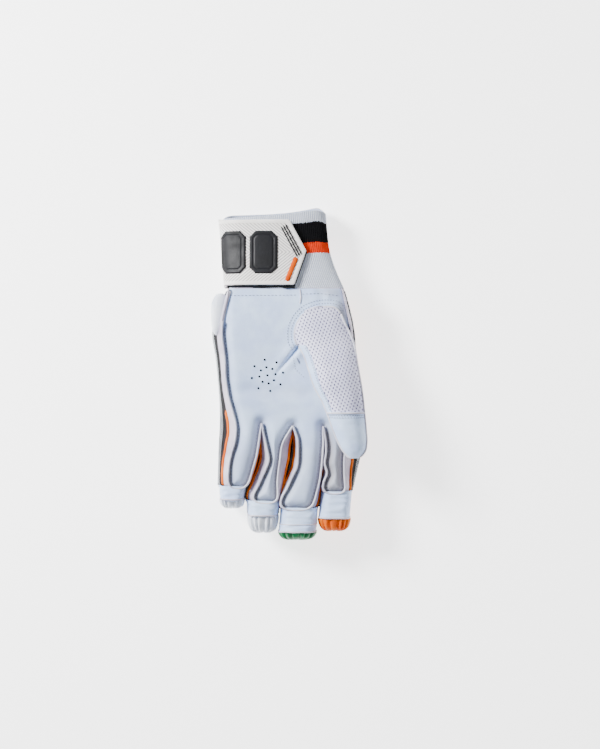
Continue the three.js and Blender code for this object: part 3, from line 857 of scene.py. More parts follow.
@dataclass(frozen=True)
class PaintedShadeFinish(Finish):
    """Leather with painted shade beside its lips, in its creases and in other shaded places. Its surface map
    holds, across, how much painted shade each place gets.
    """

    # colour of the painted shade in the creases and shaded places
    deep: tuple[int, int, int] = (150, 146, 150)

    def dress(self, w: Wiring) -> tuple[Value, Value, Value]:
        """Adds the painted shade of the creases and shaded places to the leather.

        Args:
            w: Wiring of the material.

        Returns:
            Colour, height and roughness.
        """
        colour, height, rough = super().dress(w)
        # painted shade: blends towards the dark colour where the surface map says the leather lies in shade
        painted_shade, _ = surface_place(w)
        return w.blend(w.math("MINIMUM", painted_shade, 0.9), colour, linear(*self.deep)), height, rough


@dataclass(frozen=True)
class DotFinish(Finish):
    """A pale panel with small holes on a diagonal lattice, coloured darker with the painted shade inside
    them.
    """

    hole_shade: tuple[int, int, int] = (104, 96, 142)
    across: float = 3.2
    down: float = 4.7

    def dress(self, w: Wiring) -> tuple[Value, Value, Value]:
        """Adds the holes to the panel, with painted shade inside them.

        Args:
            w: Wiring of the material.

        Returns:
            Colour, height and roughness.
        """
        colour, height, rough = super().dress(w)
        dots = self.effect(w, Effect.DOTS, Across=self.across, Down=self.down)
        # painted shade: the holes are coloured dark for the shade inside them
        colour = w.blend(dots.outputs["Holes"], colour, linear(*self.hole_shade))
        sunk = w.math("MULTIPLY", dots.outputs["Height"], 3.0)
        height = w.math("ADD", sunk, w.math("MULTIPLY", height, 0.4))
        return colour, height, rough


@dataclass(frozen=True)
class KnitFinish(Finish):
    """A towelling knit with two colour bands and painted shade in its grooves."""

    first: tuple[int, int, int] = (8, 8, 12)
    second: tuple[int, int, int] = (230, 52, 0)
    bands: tuple[float, float, float] = (8.6, 25.2, 33.8)

    def dress(self, w: Wiring) -> tuple[Value, Value, Value]:
        """Adds the bands, the loops of the knit and the painted shade in its grooves.

        Args:
            w: Wiring of the material.

        Returns:
            Colour, height and roughness.
        """
        knit = self.effect(w, Effect.RIBS)
        start, middle, end = self.bands
        bands = self.effect(w, Effect.BANDS, Start=start, Middle=middle, End=end)
        colour = w.blend(knit.outputs["Fluff"], linear(*self.shade), linear(*self.colour))
        colour = w.blend(bands.outputs["First"], colour, linear(*self.first))
        colour = w.blend(bands.outputs["Second"], colour, linear(*self.second))
        return colour, knit.outputs["Height"], self.roughness


@dataclass(frozen=True)
class ChevronFinish(Finish):
    """Moulded rubber with painted shade in the grooves of its ribbed field; its surface map holds the place
    across its ribs and a mask of the ribbed field.
    """

    # colour of the painted shade in the grooves
    groove: tuple[int, int, int] = (138, 134, 138)
    pitch: float = 1.6

    def dress(self, w: Wiring) -> tuple[Value, Value, Value]:
        """Paints shade into the grooves of the ribbed field.

        Args:
            w: Wiring of the material.

        Returns:
            Colour, height and roughness.
        """
        colour, height, rough = super().dress(w)
        across, field_mask = surface_place(w)
        wave = w.math("COSINE", w.math("DIVIDE", w.math("MULTIPLY", across, 2 * math.pi), self.pitch))
        # painted shade: darker colour in the grooves between the ribs
        grooves = w.math("MULTIPLY", w.span(wave, -0.2, 0.9), field_mask)
        return w.blend(w.math("MULTIPLY", grooves, 0.75), colour, linear(*self.groove)), height, rough


@dataclass(frozen=True)
class WeaveFinish(Finish):
    """Crossing threads over a darker ground."""

    pitch: float = 1.3

    def dress(self, w: Wiring) -> tuple[Value, Value, Value]:
        """Shows the ground between the threads.

        Args:
            w: Wiring of the material.

        Returns:
            Colour, height and roughness.
        """
        weave = self.effect(w, Effect.WEAVE, Pitch=self.pitch)
        colour = w.blend(weave.outputs["Threads"], linear(*self.shade), linear(*self.colour))
        return colour, weave.outputs["Height"], self.roughness


PALM = Finish("band_leather_finish", (200, 222, 254), (183, 205, 244), 0.56, relief=0.12, grain=0.9)
SHADED_PALM = PaintedShadeFinish("palm_leather_finish", (200, 222, 255), (182, 204, 244), 0.56, relief=0.13, grain=0.9)
LIP = Finish("welt_finish", (212, 212, 224), (182, 180, 198), 0.6, relief=0.08, grain=0.7)
WALL = Finish("side_wall_finish", (196, 188, 204), (168, 160, 180), 0.65, relief=0.1, grain=0.9)
WHITE = Finish("white_cover_finish", (228, 233, 241), (206, 213, 227), 0.44, coat=0.12, relief=0.07)
GREEN = Finish("green_cover_finish", (0, 132, 72), (0, 92, 50), 0.42, coat=0.06, specular=0.3, relief=0.07)
ORANGE = CellFinish(
    "orange_cover_finish", (232, 112, 0), (204, 66, 0), 0.46, coat=0.05, specular=0.25, relief=0.09
)
ORANGE_END = Finish("orange_gathered_finish", (228, 118, 0), (204, 76, 0), 0.5, specular=0.15, relief=0.07)
PIPING = Finish(
    "orange_piping_finish", (222, 108, 6), (194, 80, 0), 0.7, specular=0.15, relief=0.08, grain=0.6
)
DARK_MESH = WeaveFinish("dark_mesh_finish", (34, 33, 38), (7, 7, 9), 0.8, specular=0.2, relief=0.3, pitch=1.4)
CORD = Finish("silver_cord_finish", (186, 190, 194), (140, 144, 150), 0.5, relief=0.12, grain=0.5)
PANEL = DotFinish("thumb_panel_finish", (220, 220, 246), (208, 209, 238), 0.6, relief=0.16, grain=0.6)
THREAD = Finish("thread_finish", (118, 122, 150), (98, 102, 132), 0.7, relief=0.05, grain=0.4)
KNIT = KnitFinish("knit_finish", (242, 248, 255), (192, 202, 226), 0.95, specular=0.15, relief=0.5)
RUBBER = ChevronFinish("strap_rubber_finish", (240, 237, 234), (230, 226, 222), 0.5, relief=0.04, grain=0.5)
GUARD = Finish("guard_rubber_finish", (226, 220, 206), (214, 207, 192), 0.45, coat=0.15, relief=0.05)
DARK = Finish("raised_rubber_finish", (16, 17, 22), (8, 9, 13), 0.52, specular=0.24, relief=0.06, grain=0.5)
BAR = Finish("bar_rubber_finish", (204, 84, 0), (188, 66, 0), 0.8, specular=0.1, relief=0.04, grain=0.5)
TAPE = WeaveFinish("hook_tape_finish", (40, 45, 54), (10, 12, 16), 0.9, specular=0.2, relief=0.35, pitch=0.9)
SHADED_HOLE = Finish("punched_hole_finish", (22, 24, 36), (14, 16, 26), 0.9, specular=0.1, relief=0.02)


def dress(piece: bpy.types.Object, finish: Finish) -> bpy.types.Object:
    """Puts a finish on a piece and lets it ride on the glove.

    Args:
        piece: The piece, in its place.
        finish: The finish it shows.

    Returns:
        The same piece.
    """
    piece.data.materials.clear()
    piece.data.materials.append(finish.material())
    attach(piece, "root")
    LOG.info("%s: %d faces, %s", piece.name, len(piece.data.polygons), finish.name)
    return piece


@dataclass(frozen=True)
class HandForm:
    """The main surfaces of the hand: heights by distance down from the wrist seam, and the palm's relief."""

    floor: Profile = Profile(((0, 0), (117, 0), (162, 2.1), (216, 7)))
    back: Profile = Profile(((0, 14.2), (32, 18.8), (76, 19), (117, 17.5), (162, 18), (216, 21)))
    top: Profile = Profile(((0, 40), (14, 43.6), (34, 46), (76, 46), (117, 43.6), (162, 42.6), (216, 44)))
    hollow: float = 2.4  # cup of the palm
    hollow_at: tuple[float, float] = (-8.0, 72.0)
    hollow_reach: tuple[float, float] = (32.0, 30.0)
    crease_at: float = 87.5  # soft crease across the palm
    crease: float = 1.2
    fold_start: tuple[float, float] = (10.4, 49.4)  # fold that runs from the thumb's web into the palm
    fold_end: tuple[float, float] = (-6.2, 70.0)
    fold: float = 4.6
    valley: float = 6.4  # how far the leather sinks beside a lip
    valley_reach: float = 5.0
    heel_side: float = 38.0  # from here the heel of the thumb turns down
    heel_drop: float = 9.0
    heel_folds: float = 1.9  # height of the folds in the heel
    outer_side: float = -44.0  # from here the outer edge turns down above its lip
    outer_drop: float = 5.0
    left_lip_start: float = 28.0
    shade_beside_lips: float = 0.62  # strength of the painted shade beside the lips
    # strengths of the painted shade on the finger fronts, in the thumb's shadow, at the heel, at the wrist
    # seam and in the crease
    shade_on_fronts: float = 0.3
    shadow_under_thumb: float = 0.45
    shade_on_heel: float = 0.7
    shade_at_seam: float = 0.5
    shade_in_crease: float = 0.16

    def height(self, across: np.ndarray, down: np.ndarray, lips: list[np.ndarray]) -> np.ndarray:
        """Height of the palm leather.

        Args:
            across: Places across the glove.
            down: Places down from the wrist seam.
            lips: The raised lips that the leather sinks beside.

        Returns:
            Heights in millimetres.
        """
        z = self.top(down)
        z = z - self.hollow * mound(across, down, self.hollow_at, self.hollow_reach)
        span = np.exp(-(((across + 12) / 34) ** 4))
        bend = down - self.crease_at - 1.6 * np.sin((across + 6) / 13)
        z = z - self.crease * span * np.exp(-((bend / 5.2) ** 2))
        z = z + 0.6 * span * np.exp(-(((bend - 10) / 6) ** 2))
        z = z - self.fold_relief(across, down)
        start = climb(down, self.left_lip_start - 4, 10)
        near = distance_to(np.stack([across, down], axis=-1), lips)
        z = z - self.valley * np.exp(-((near / self.valley_reach) ** 2)) * start
        heel = np.clip((across - self.heel_side) / 17, 0, 1.4) * climb(-down, -62, 20)
        z = z - self.heel_drop * heel**2
        outer = np.clip((self.outer_side - across) / 10, 0, 1.4) * (1 - start)
        z = z - self.outer_drop * outer**2
        spots = surface(across, down, 0.0)
        z = z + 0.34 * wrinkle(spots, 17.0, 3.0) + 0.12 * wrinkle(spots, 5.5, 9.0)
        z = z + self.heel_folds * mound(across, down, (32, 7), (15, 8)) * wrinkle(spots, 9.0, 44.0)
        stretched = spots * np.array([1.0, 0.35, 1.0])
        return z + 0.22 * wrinkle(stretched, 6.0, 21.0) * np.exp(-((near / 9) ** 2))

    def painted_shade(self, across: np.ndarray, down: np.ndarray, lips: list[np.ndarray]) -> np.ndarray:
        """How much painted shade the leather gets, from 0 to 1: beside the lips, on the finger fronts, under
        the thumb, at the heel, at the wrist seam and in the crease.

        Args:
            across: Places across the glove.
            down: Places down from the wrist seam.
            lips: The raised lips.

        Returns:
            A share for each place.
        """
        near = distance_to(np.stack([across, down], axis=-1), lips)
        beside = self.shade_beside_lips * np.exp(-((near / 4.2) ** 2)) * climb(down, self.left_lip_start, 10)
        fronts = self.shade_on_fronts * climb(down, 118, 26)
        thumb_side = self.shadow_under_thumb * climb(across, 30, 5) * climb(down, 108, 16)
        heel = self.shade_on_heel * mound(across, down, (47, 20), (8, 13))
        seam = self.shade_at_seam * mound(across, down, (37, 3), (10, 5))
        crease = np.exp(-(((down - self.crease_at - 2) / 6) ** 2) - ((across + 4) / 30) ** 4)
        return np.clip(beside + fronts + thumb_side + heel + seam + self.shade_in_crease * crease, 0, 1)

    def fold_relief(self, across: np.ndarray, down: np.ndarray) -> np.ndarray:
        """Depth of the fold at the thumb's web, with the puffed leather beside it.

        Args:
            across: Places across the glove.
            down: Places down from the wrist seam.

        Returns:
            Depths in millimetres, below zero where the leather is puffed.
        """
        a, b = np.array(self.fold_start), np.array(self.fold_end)
        along = (b - a) / np.linalg.norm(b - a)
        side = np.array([-along[1], along[0]])
        off = np.stack([across - a[0], down - a[1]], axis=-1)
        run = np.clip(off @ along / np.linalg.norm(b - a), -0.4, 1.6)
        away = off @ side
        fade = np.clip(1.25 - run, 0, 1) * np.clip(run + 0.35, 0, 0.35) / 0.35
        puffed = 1.1 * np.exp(-(((np.abs(away) - 4.5) / 3.2) ** 2))
        return fade * (self.fold * np.exp(-((away / 1.3) ** 2)) - puffed)


@dataclass(frozen=True)
class FingerForm:
    """One finger: where its leather front, its side walls and its tip lie, down from the wrist seam."""

    name: str
    left: Profile  # edges of the leather front
    right: Profile
    left_low: Profile  # lower edges of the side walls
    right_low: Profile
    end: float  # end of the leather front
    band_end: float
    tip_end: float
    tip: tuple[float, float]  # left and right of the gathered tip
    finish: Finish
    slot: str
    corner: float = 7.0  # rounding of the front's end
    folds: tuple[float, ...] = ()  # places of folds across the band

    def edges(self, down: np.ndarray) -> tuple[np.ndarray, np.ndarray]:
        """Left and right edges of the leather front, closed to a rounded end.

        Args:
            down: Places down from the wrist seam.

        Returns:
            Places across of both edges.
        """
        left, right = self.left(down), self.right(down)
        t = np.clip((down - (self.end - self.corner)) / self.corner, 0, 1)
        middle, half = (left + right) / 2, (right - left) / 2 * swelling(t, 2.8)
        return middle - half, middle + half


@dataclass(frozen=True)
class Crotch:
    """Where two fingers part, and where the line between them starts at the wrist."""

    across: float
    down: float
    from_across: float

    def border(self, down: np.ndarray) -> np.ndarray:
        """Line between the two fingers, from the wrist to where they part."""
        return self.from_across + (self.across - self.from_across) * np.clip(down / self.down, 0, 1)


CROTCHES = (Crotch(-21.3, 115.0, -23.0), Crotch(5.6, 117.0, 1.0), Crotch(31.2, 117.5, 26.0))

FINGERS = (
    FingerForm(
        "pinky",
        Profile(
            ((0, -48.6), (8, -49.6), (21, -52.5), (30, -54.4), (60, -52.5), (89, -50), (99, -47.6),
             (109, -44.6), (120, -42.8), (131, -44.2), (139, -46.7), (150, -49.1), (172, -49.4))
        ),
        Profile(((115, -21.3), (124, -22.6), (139, -24.7), (154, -28.6), (172, -34.5))),
        Profile(
            ((0, -49.4), (7, -54), (20, -60), (36, -63.2), (60, -60), (95, -57), (115, -56.6),
             (135, -57.6), (172, -58.8))
        ),
        Profile(((115, -21.3), (139, -27), (154, -31), (172, -35.6))),
        170.4, 180.0, 187.8, (-56.9, -36.6), WHITE, "white",
    ),
    FingerForm(
        "ring",
        Profile(
            ((115, -21.3), (127, -18.9), (136, -16.9), (147, -15.4), (154, -17.9), (169, -24.7),
             (176, -28.2), (184, -28.6))
        ),
        Profile(((117, 5.6), (124, 0.9), (132, -3.2), (144, -5.2), (157, -7.1), (184, -7.6))),
        Profile(
            ((115, -21.3), (127, -22.6), (136, -24.2), (150, -27), (165, -32), (176, -35.4), (184, -35.4))
        ),
        Profile(((117, 5.6), (139, 5.6), (150, 3.8), (161, 1), (171, -3), (184, -5.6))),
        183.0, 193.7, 208.8, (-33.0, -7.6), WHITE, "white",
    ),
    FingerForm(
        "middle",
        Profile(
            ((117, 5.6), (129, 9.4), (139, 9.9), (150, 9), (161, 4.6), (171, -0.3), (179, -4.6),
             (190, -4.8))
        ),
        Profile(((117.5, 31.2), (129, 31.4), (144, 30.4), (158, 29), (173, 26), (190, 20.5))),
        Profile(((117, 5.6), (139, 7), (150, 5.6), (161, 1.2), (171, -2.6), (190, -6.6))),
        Profile(((117.5, 31.2), (144, 29.4), (165, 28.4), (190, 27))),
        188.8, 207.6, 214.6, (-6.9, 25.4), GREEN, "green", folds=(201.0,),
    ),
    FingerForm(
        "index",
        Profile(
            ((117.5, 31.2), (129, 33.3), (139, 33.8), (150, 32.4), (157, 34.6), (165, 31.4), (176, 31.2))
        ),
        Profile(
            ((0, 46.5), (16, 50), (30, 53), (50, 55), (80, 54.5), (100, 53), (130, 50.5), (153, 49),
             (176, 50.4))
        ),
        Profile(((117.5, 31.2), (144, 31.2), (165, 29.6), (176, 29))),
        Profile(
            ((0, 48.5), (30, 56), (60, 58.5), (100, 60), (130, 62.4), (144, 62.4), (154, 60.2), (176, 55.3))
        ),
        175.0, 196.0, 207.3, (27.5, 54.2), ORANGE, "orange",
    ),
)


@dataclass
class Hand:
    """Palm leather, its raised lips, side walls and back cover."""

    make: Maker
    form: HandForm = HandForm()
    step: float = 1.0
    leather: float = 1.4
    lip_width: float = 1.8
    lip_height: float = 4.4
    lip_stand: float = 3.6
    lip_end: float = 0.02  # the leather stops this far before its lip's end
    last_lip_stop: float = 62.0  # the index finger's lip runs up to here, under the thumb
    wall: float = 1.0
    wall_begin: float = 0.5
    outer_split: float = 0.36  # share of a wall's height that is pale leather
    inner_split: float = 0.46
    mesh_foot: float = 1.02  # the mesh ends just under the back cover
    piping_from: float = 104.0
    cord_top: float = 0.62  # shares of the wall's height between which the cord runs
    cord_foot: float = 0.98
    cord_step: float = 0.7
    cord_pitch: float = 4.4
    facing_at: float = 0.3  # place of the hand's end, down from the wrist seam
    lips: list[np.ndarray] = field(default_factory=list)

    def __post_init__(self) -> None:
        """Works out the plan of the raised lips once."""
        self.lips = [self.lip_line(i) for i in range(len(FINGERS))]

    def strip_edges(self, i: int, down: np.ndarray, low: bool = False) -> tuple[np.ndarray, np.ndarray]:
        """Left and right edges of a finger's strip, from the wrist to its end.

        Args:
            i: Number of the finger.
            down: Places down from the wrist seam.
            low: True for the lower edges of the side walls.

        Returns:
            Left and right edges.
        """
        finger = FINGERS[i]
        left, right = (finger.left_low(down), finger.right_low(down)) if low else finger.edges(down)
        if i > 0:
            left = np.where(down <= CROTCHES[i - 1].down, CROTCHES[i - 1].border(down), left)
        if i < len(CROTCHES):
            right = np.where(down <= CROTCHES[i].down, CROTCHES[i].border(down), right)
        return left, right

    def lip_line(self, i: int) -> np.ndarray:
        """Plan of a finger's lip: down its left side, round its end and up its right side.

        Args:
            i: Number of the finger.

        Returns:
            Array (n, 2) of places across and down.
        """
        finger = FINGERS[i]
        start = self.form.left_lip_start if i == 0 else CROTCHES[i - 1].down
        stop = self.last_lip_stop if i == len(CROTCHES) else CROTCHES[i].down
        last = finger.end - self.lip_end
        bend = np.sin(np.linspace(0, math.pi / 2, 14)) * finger.corner + finger.end - finger.corner
        bend = np.minimum(bend[1:], last)
        first = np.r_[np.linspace(start, finger.end - finger.corner, 40), bend]
        second = np.r_[bend[::-1], np.linspace(finger.end - finger.corner, stop, 40)]
        down = np.r_[first, second]
        left, right = self.strip_edges(i, down)
        across = np.where(np.arange(len(down)) < len(first), left, right)
        return resample(np.stack([across, down], axis=1), 1.0)

    def build(self) -> None:
        """Builds every piece of the hand."""
        self.palm()
        self.lip_pieces()
        self.walls()
        self.back()
        self.perforations()
        self.seams()

    def strips(
        self, low: bool, height: Callable[[np.ndarray, np.ndarray], np.ndarray]
    ) -> list[np.ndarray]:
        """Grids of the four finger strips that share their borders above the crotches.

        Args:
            low: True for the lower edges of the side walls.
            height: Gives the heights of places across and down.

        Returns:
            One grid of points for each finger.
        """
        grids = []
        for i, finger in enumerate(FINGERS):
            reach = finger.end - self.lip_end
            down = np.r_[np.arange(0.0, reach - 1.5, self.step), np.linspace(reach - 1.4, reach, 6)]
            down = np.unique(np.round(np.r_[down, [crotch.down for crotch in CROTCHES]], 3))
            left, right = self.strip_edges(i, down, low)
            across = left[:, None] + (right - left)[:, None] * np.linspace(0, 1, 27)[None]
            deep = np.broadcast_to(down[:, None], across.shape)
            grids.append(surface(across, deep, height(across, deep)))
        return grids

    def join(self, name: str, grids: list[np.ndarray], painted_shade: bool = False) -> bpy.types.Object:
        """Makes one piece of several grids, joined where they share points.

        Args:
            name: Piece name.
            grids: Arrays (rows, columns, 3) in millimetres.
            painted_shade: True if the surface map holds how much painted shade each place gets, instead of
                its place across.

        Returns:
            The new object.
        """
        points, faces, uvs, count = [], [], [], 0
        for grid in grids:
            flat = grid.reshape(-1, 3)
            faces += quads_of(*grid.shape[:2], count)
            points.append(flat)
            first = self.form.painted_shade(flat[:, 0], flat[:, 1], self.lips) if painted_shade else flat[:, 0]
            uvs.append(np.stack([first, flat[:, 1]], axis=1))
            count += len(flat)
        piece = self.make.mesh(name, np.vstack(points), faces, np.vstack(uvs))
        weld(piece, 2e-5)
        return piece

    def palm(self) -> None:
        """Palm and finger fronts, one piece of leather."""
        grids = self.strips(False, lambda a, d: self.form.height(a, d, self.lips))
        # the surface map carries the painted shade of the palm leather
        piece = self.join("palm_and_finger_leather", grids, True)
        thicken(piece, self.leather)
        dress(piece, SHADED_PALM)
        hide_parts("palm_leather")

    def lip_pieces(self) -> None:
        """Raised welted lips along the outer edge and round each finger front."""
        for finger, line in zip(FINGERS, self.lips):
            z = self.form.height(line[:, 0], line[:, 1], self.lips) + self.lip_stand
            path = np.c_[line, z]
            path[:, 2] += 0.3 * wrinkle(path, 7.0, 2.0)
            path[:, 0] += 0.35 * wrinkle(path, 9.0, 5.0)
            path = soften(path[::3], 2)
            piece = self.make.tube(f"{finger.name}_lip", path, self.lip_width, self.lip_height, 10)
            dress(piece, LIP)
            inner = self.inset(path, 2.5)
            thread = self.make.stitches(f"{finger.name}_lip_stitches", inner, 1.6, 1.2, 0.4)
            dress(thread, THREAD)

    def inset(self, path: np.ndarray, by: float) -> np.ndarray:
        """A path on the leather beside a lip, on its inner side.

        Args:
            path: The lip's path.
            by: Distance from it.

        Returns:
            Array (n, 3) of points.
        """
        ahead = unit(np.gradient(path[:, :2], axis=0))
        inner = path[:, :2] + by * np.stack([ahead[:, 1], -ahead[:, 0]], axis=1)
        return np.c_[inner, self.form.height(inner[:, 0], inner[:, 1], self.lips) + 0.15]

    def wall_grid(self, i: int, left: bool, begin: float, stop: float, top: float, foot: float) -> np.ndarray:
        """Part of a side wall between two shares of its height.

        Args:
            i: Number of the finger.
            left: True for the wall on its left.
            begin: Where the wall starts, down from the wrist seam.
            stop: Where it ends.
            top: Upper share, 0 at the lip.
            foot: Lower share, 1 at the back cover.

        Returns:
            Grid of points, rows down the finger.
        """
        down = np.arange(begin, stop, 1.2)
        side = 0 if left else 1
        upper = self.strip_edges(i, down)[side]
        lower = self.strip_edges(i, down, True)[side]
        out = -1.0 if left else 1.0
        z_top = self.form.height(upper, down, self.lips) + self.lip_stand
        z_low = self.form.back(down)
        share = np.linspace(top, foot, 12)
        even = climb(share, 0, self.outer_split)
        z_top = z_top[:, None] * (1 - even) + (self.form.top(down)[:, None] - 3.4) * even
        sweep = share**0.92
        across = upper[:, None] + out * 0.5 + (lower - upper)[:, None] * sweep[None]
        across = across + out * 0.35 * np.sin(math.pi * share)[None]
        z = z_top + (z_low[:, None] - z_top) * share[None]
        grid = surface(across, down[:, None], z)
        bumps = wrinkle(grid, 8.0, 4.0 + i) * np.sin(math.pi * share)[None]
        grid[..., 0] += out * 0.5 * bumps
        return grid

    def walls(self) -> None:
        """Side walls: pale leather above, piping, and a dark mesh with a silver cord below."""
        nodes = {
            (0, True): "outer_gusset",
            (0, False): "fourchette_pinky_ring",
            (1, False): "fourchette_ring_middle",
            (2, False): "fourchette_middle_index",
            (3, False): "thumb_side_gusset",
        }
        for i, finger in enumerate(FINGERS):
            for left in (True, False):
                side = "left" if left else "right"
                outer = (i, left) in ((0, True), (3, False))
                begin = self.wall_begin if outer else CROTCHES[i - 1 if left else i].down
                split = self.outer_split if outer else self.inner_split
                stop = finger.end - 1.0
                grid = self.wall_grid(i, left, begin, stop, 0, split)
                upper = self.make.sheet(f"{finger.name}_wall_{side}", grid)
                thicken(upper, self.wall, 0)
                dress(upper, WALL)
                grid = self.wall_grid(i, left, begin, stop, split, self.mesh_foot)
                lower = self.make.sheet(f"{finger.name}_mesh_wall_{side}", grid)
                thicken(lower, self.wall, 0)
                dress(lower, DARK_MESH)
                self.wall_trim(i, left, side, begin, stop, split)
                if (i, left) in nodes:
                    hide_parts(nodes[(i, left)])

    def wall_trim(self, i: int, left: bool, side: str, begin: float, stop: float, split: float) -> None:
        """Piping between the two parts of a wall, and the zigzag cord on the mesh.

        Args:
            i: Number of the finger.
            left: True for the wall on its left.
            side: Name of that side.
            begin: Where the wall starts, down from the wrist seam.
            stop: Where it ends.
            split: Share of its height where its two parts meet.
        """
        finger = FINGERS[i]
        out = -1.0 if left else 1.0
        grid = self.wall_grid(i, left, max(begin, self.piping_from), stop, split, self.cord_top)
        pipe = grid[:, 0] + np.array([out * 0.7, 0, 0])
        dress(self.make.tube(f"{finger.name}_piping_{side}", pipe[::2], 2.6, 3.2, 8), PIPING)
        mesh = self.wall_grid(i, left, begin + 1, stop - 1, self.cord_top, self.cord_foot)
        high, line, low = (resample(mesh[:, column], self.cord_step) for column in (0, 5, -1))
        count = min(len(line), len(high), len(low))
        along = np.arange(count) * self.cord_step
        for phase, way in ((0.0, "a"), (math.pi, "b")):
            swing = (0.55 + 0.26 * np.sin(along / self.cord_pitch * 2 * math.pi + phase))[:, None]
            path = high[:count] * (1 - swing) + low[:count] * swing
            path[:, 0] += out * 0.8
            piece = self.make.tube(f"{finger.name}_cord_{side}_{way}", path, 1.0, 1.2, 6)
            dress(piece, CORD)

    def back(self) -> None:
        """Cover between the hollow hand and the foam rolls."""

        def height(across: np.ndarray, down: np.ndarray) -> np.ndarray:
            """Height of the cover, just inside the rolls."""
            return self.form.back(down) + 0.4

        piece = self.join("back_cover", self.strips(True, height))
        thicken(piece, 1.5, 0)
        dress(piece, DARK_MESH)
        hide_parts("back_panel")

    def wrist_facing(self, opening: np.ndarray) -> None:
        """Leather facing that closes the step between the hand's end and the wristband.

        Args:
            opening: Points round the wristband at its seam.
        """
        at = np.array([self.facing_at])
        left, low_left = (self.strip_edges(0, at, low)[0][0] for low in (False, True))
        right, low_right = (self.strip_edges(3, at, low)[1][0] for low in (False, True))
        across = np.linspace(left, right, 60)
        roof = self.form.height(across, np.full(60, self.facing_at), self.lips)
        floor = float(self.form.back(0)) + 0.2
        sole = np.c_[np.linspace(low_right, low_left, 30), np.full(30, floor)]
        rim = np.vstack([np.c_[across, roof], [[low_right, floor]], sole])
        middle = np.array([0.0, 27.0])
        turn = np.linspace(-math.pi, math.pi, 240, endpoint=False)
        rows = []
        for line, depth in ((resample(rim, 0.5, True), 0.25), (opening[:, [0, 2]], -0.05)):
            away = line - middle
            angle = np.arctan2(away[:, 1], away[:, 0])
            order = np.argsort(angle)
            radius = np.interp(turn, angle[order], np.linalg.norm(away, axis=1)[order], period=2 * math.pi)
            plan = middle + radius[:, None] * np.stack([np.cos(turn), np.sin(turn)], axis=1)
            rows.append(surface(plan[:, 0], depth, plan[:, 1]))
        piece = self.make.sheet("wrist_facing", np.array(rows), True)
        thicken(piece, 1.0, 0)
        dress(piece, WALL)

    def perforations(self) -> None:
        """Ring of breathing holes in the palm: a middle one, eight near it and eight further out, each a dark
        disc of painted shade.
        """
        middle = np.array([-16.2, 74.1])
        places = [middle]
        for radius, turn in ((6.9, -8.0), (13.4, -10.0)):
            for k in range(8):
                angle = math.radians(45 * k + turn)
                places.append(middle + radius * np.array([math.cos(angle), math.sin(angle)]))
        points, faces, uvs = [], [], []
        sides, radius = 10, 0.98
        ring = np.arange(sides) / sides * 2 * math.pi
        for k, (x, y) in enumerate(places):
            across, down = x + radius * np.cos(ring), y + radius * np.sin(ring)
            z = self.form.height(across, down, self.lips)
            points.append(surface(across, down, z + 0.2))
            points.append(np.array([[x, y, z.mean() + 0.14]]))
            base = (sides + 1) * k
            faces += [[base + s, base + (s + 1) % sides, base + sides] for s in range(sides)]
            uvs.append(np.tile([x, y], (sides + 1, 1)))
        piece = self.make.mesh("palm_breathing_holes", np.vstack(points), faces, np.vstack(uvs))
        # dark discs on the leather paint the shade inside the holes
        dress(piece, SHADED_HOLE)

    def on_palm(self, plan: np.ndarray, lift: float = 0.2) -> np.ndarray:
        """Puts a plan path on the palm leather."""
        plan = resample(np.asarray(plan, dtype=float), 0.8)
        return np.c_[plan, self.form.height(plan[:, 0], plan[:, 1], self.lips) + lift]

    def seams(self) -> None:
        """Stitch line below the wrist seam, and the bar-tack and its rows at the thumb's web."""
        hem = self.on_palm([(-48, 6.4), (-20, 6.2), (10.5, 6.0)])
        dress(self.make.stitches("wrist_hem_stitches", hem, 2.0, 1.2, 0.45), THREAD)
        across = self.on_palm([(13, 5.2), (28, 4.6), (45, 6.6)])
        dress(self.make.stitches("heel_hem_stitches", across, 2.0, 1.2, 0.45), THREAD)
        short = self.on_palm([(11.4, 0.8), (12.2, 8.0), (11.2, 13.5)], 0.5)
        dress(self.make.tube("heel_seam", short, 1.3, 1.0, 8), LIP)
        tack = self.on_palm([(8.6, 59.0), (12.0, 66.5)], 0.3)
        dress(self.make.stitches("web_tack", tack, 6.0, 1.0, 0.8), THREAD)
        patch = self.on_palm([(5.2, 57.5), (7.6, 69.0), (15.6, 76.6)])
        dress(self.make.stitches("web_patch_stitches", patch, 1.4, 1.1, 0.4), THREAD)


def oval(angle: np.ndarray, power: float) -> tuple[np.ndarray, np.ndarray]:
    """Sideways and upward shares of a squarish oval.

    Args:
        angle: Angles round the oval.
        power: 2 is round, and more is squarer.

    Returns:
        Shares sideways and upward, from -1 to 1.
    """
    side = np.sign(np.cos(angle)) * np.abs(np.cos(angle)) ** (2 / power)
    up = np.sign(np.sin(angle)) * np.abs(np.sin(angle)) ** (2 / power)
    return side, up


def swelling(share: np.ndarray, power: float) -> np.ndarray:
    """Size from 1 in the middle to 0 at shares of -1 and 1; more power is fuller."""
    return (1 - np.abs(share) ** power) ** (1 / power)


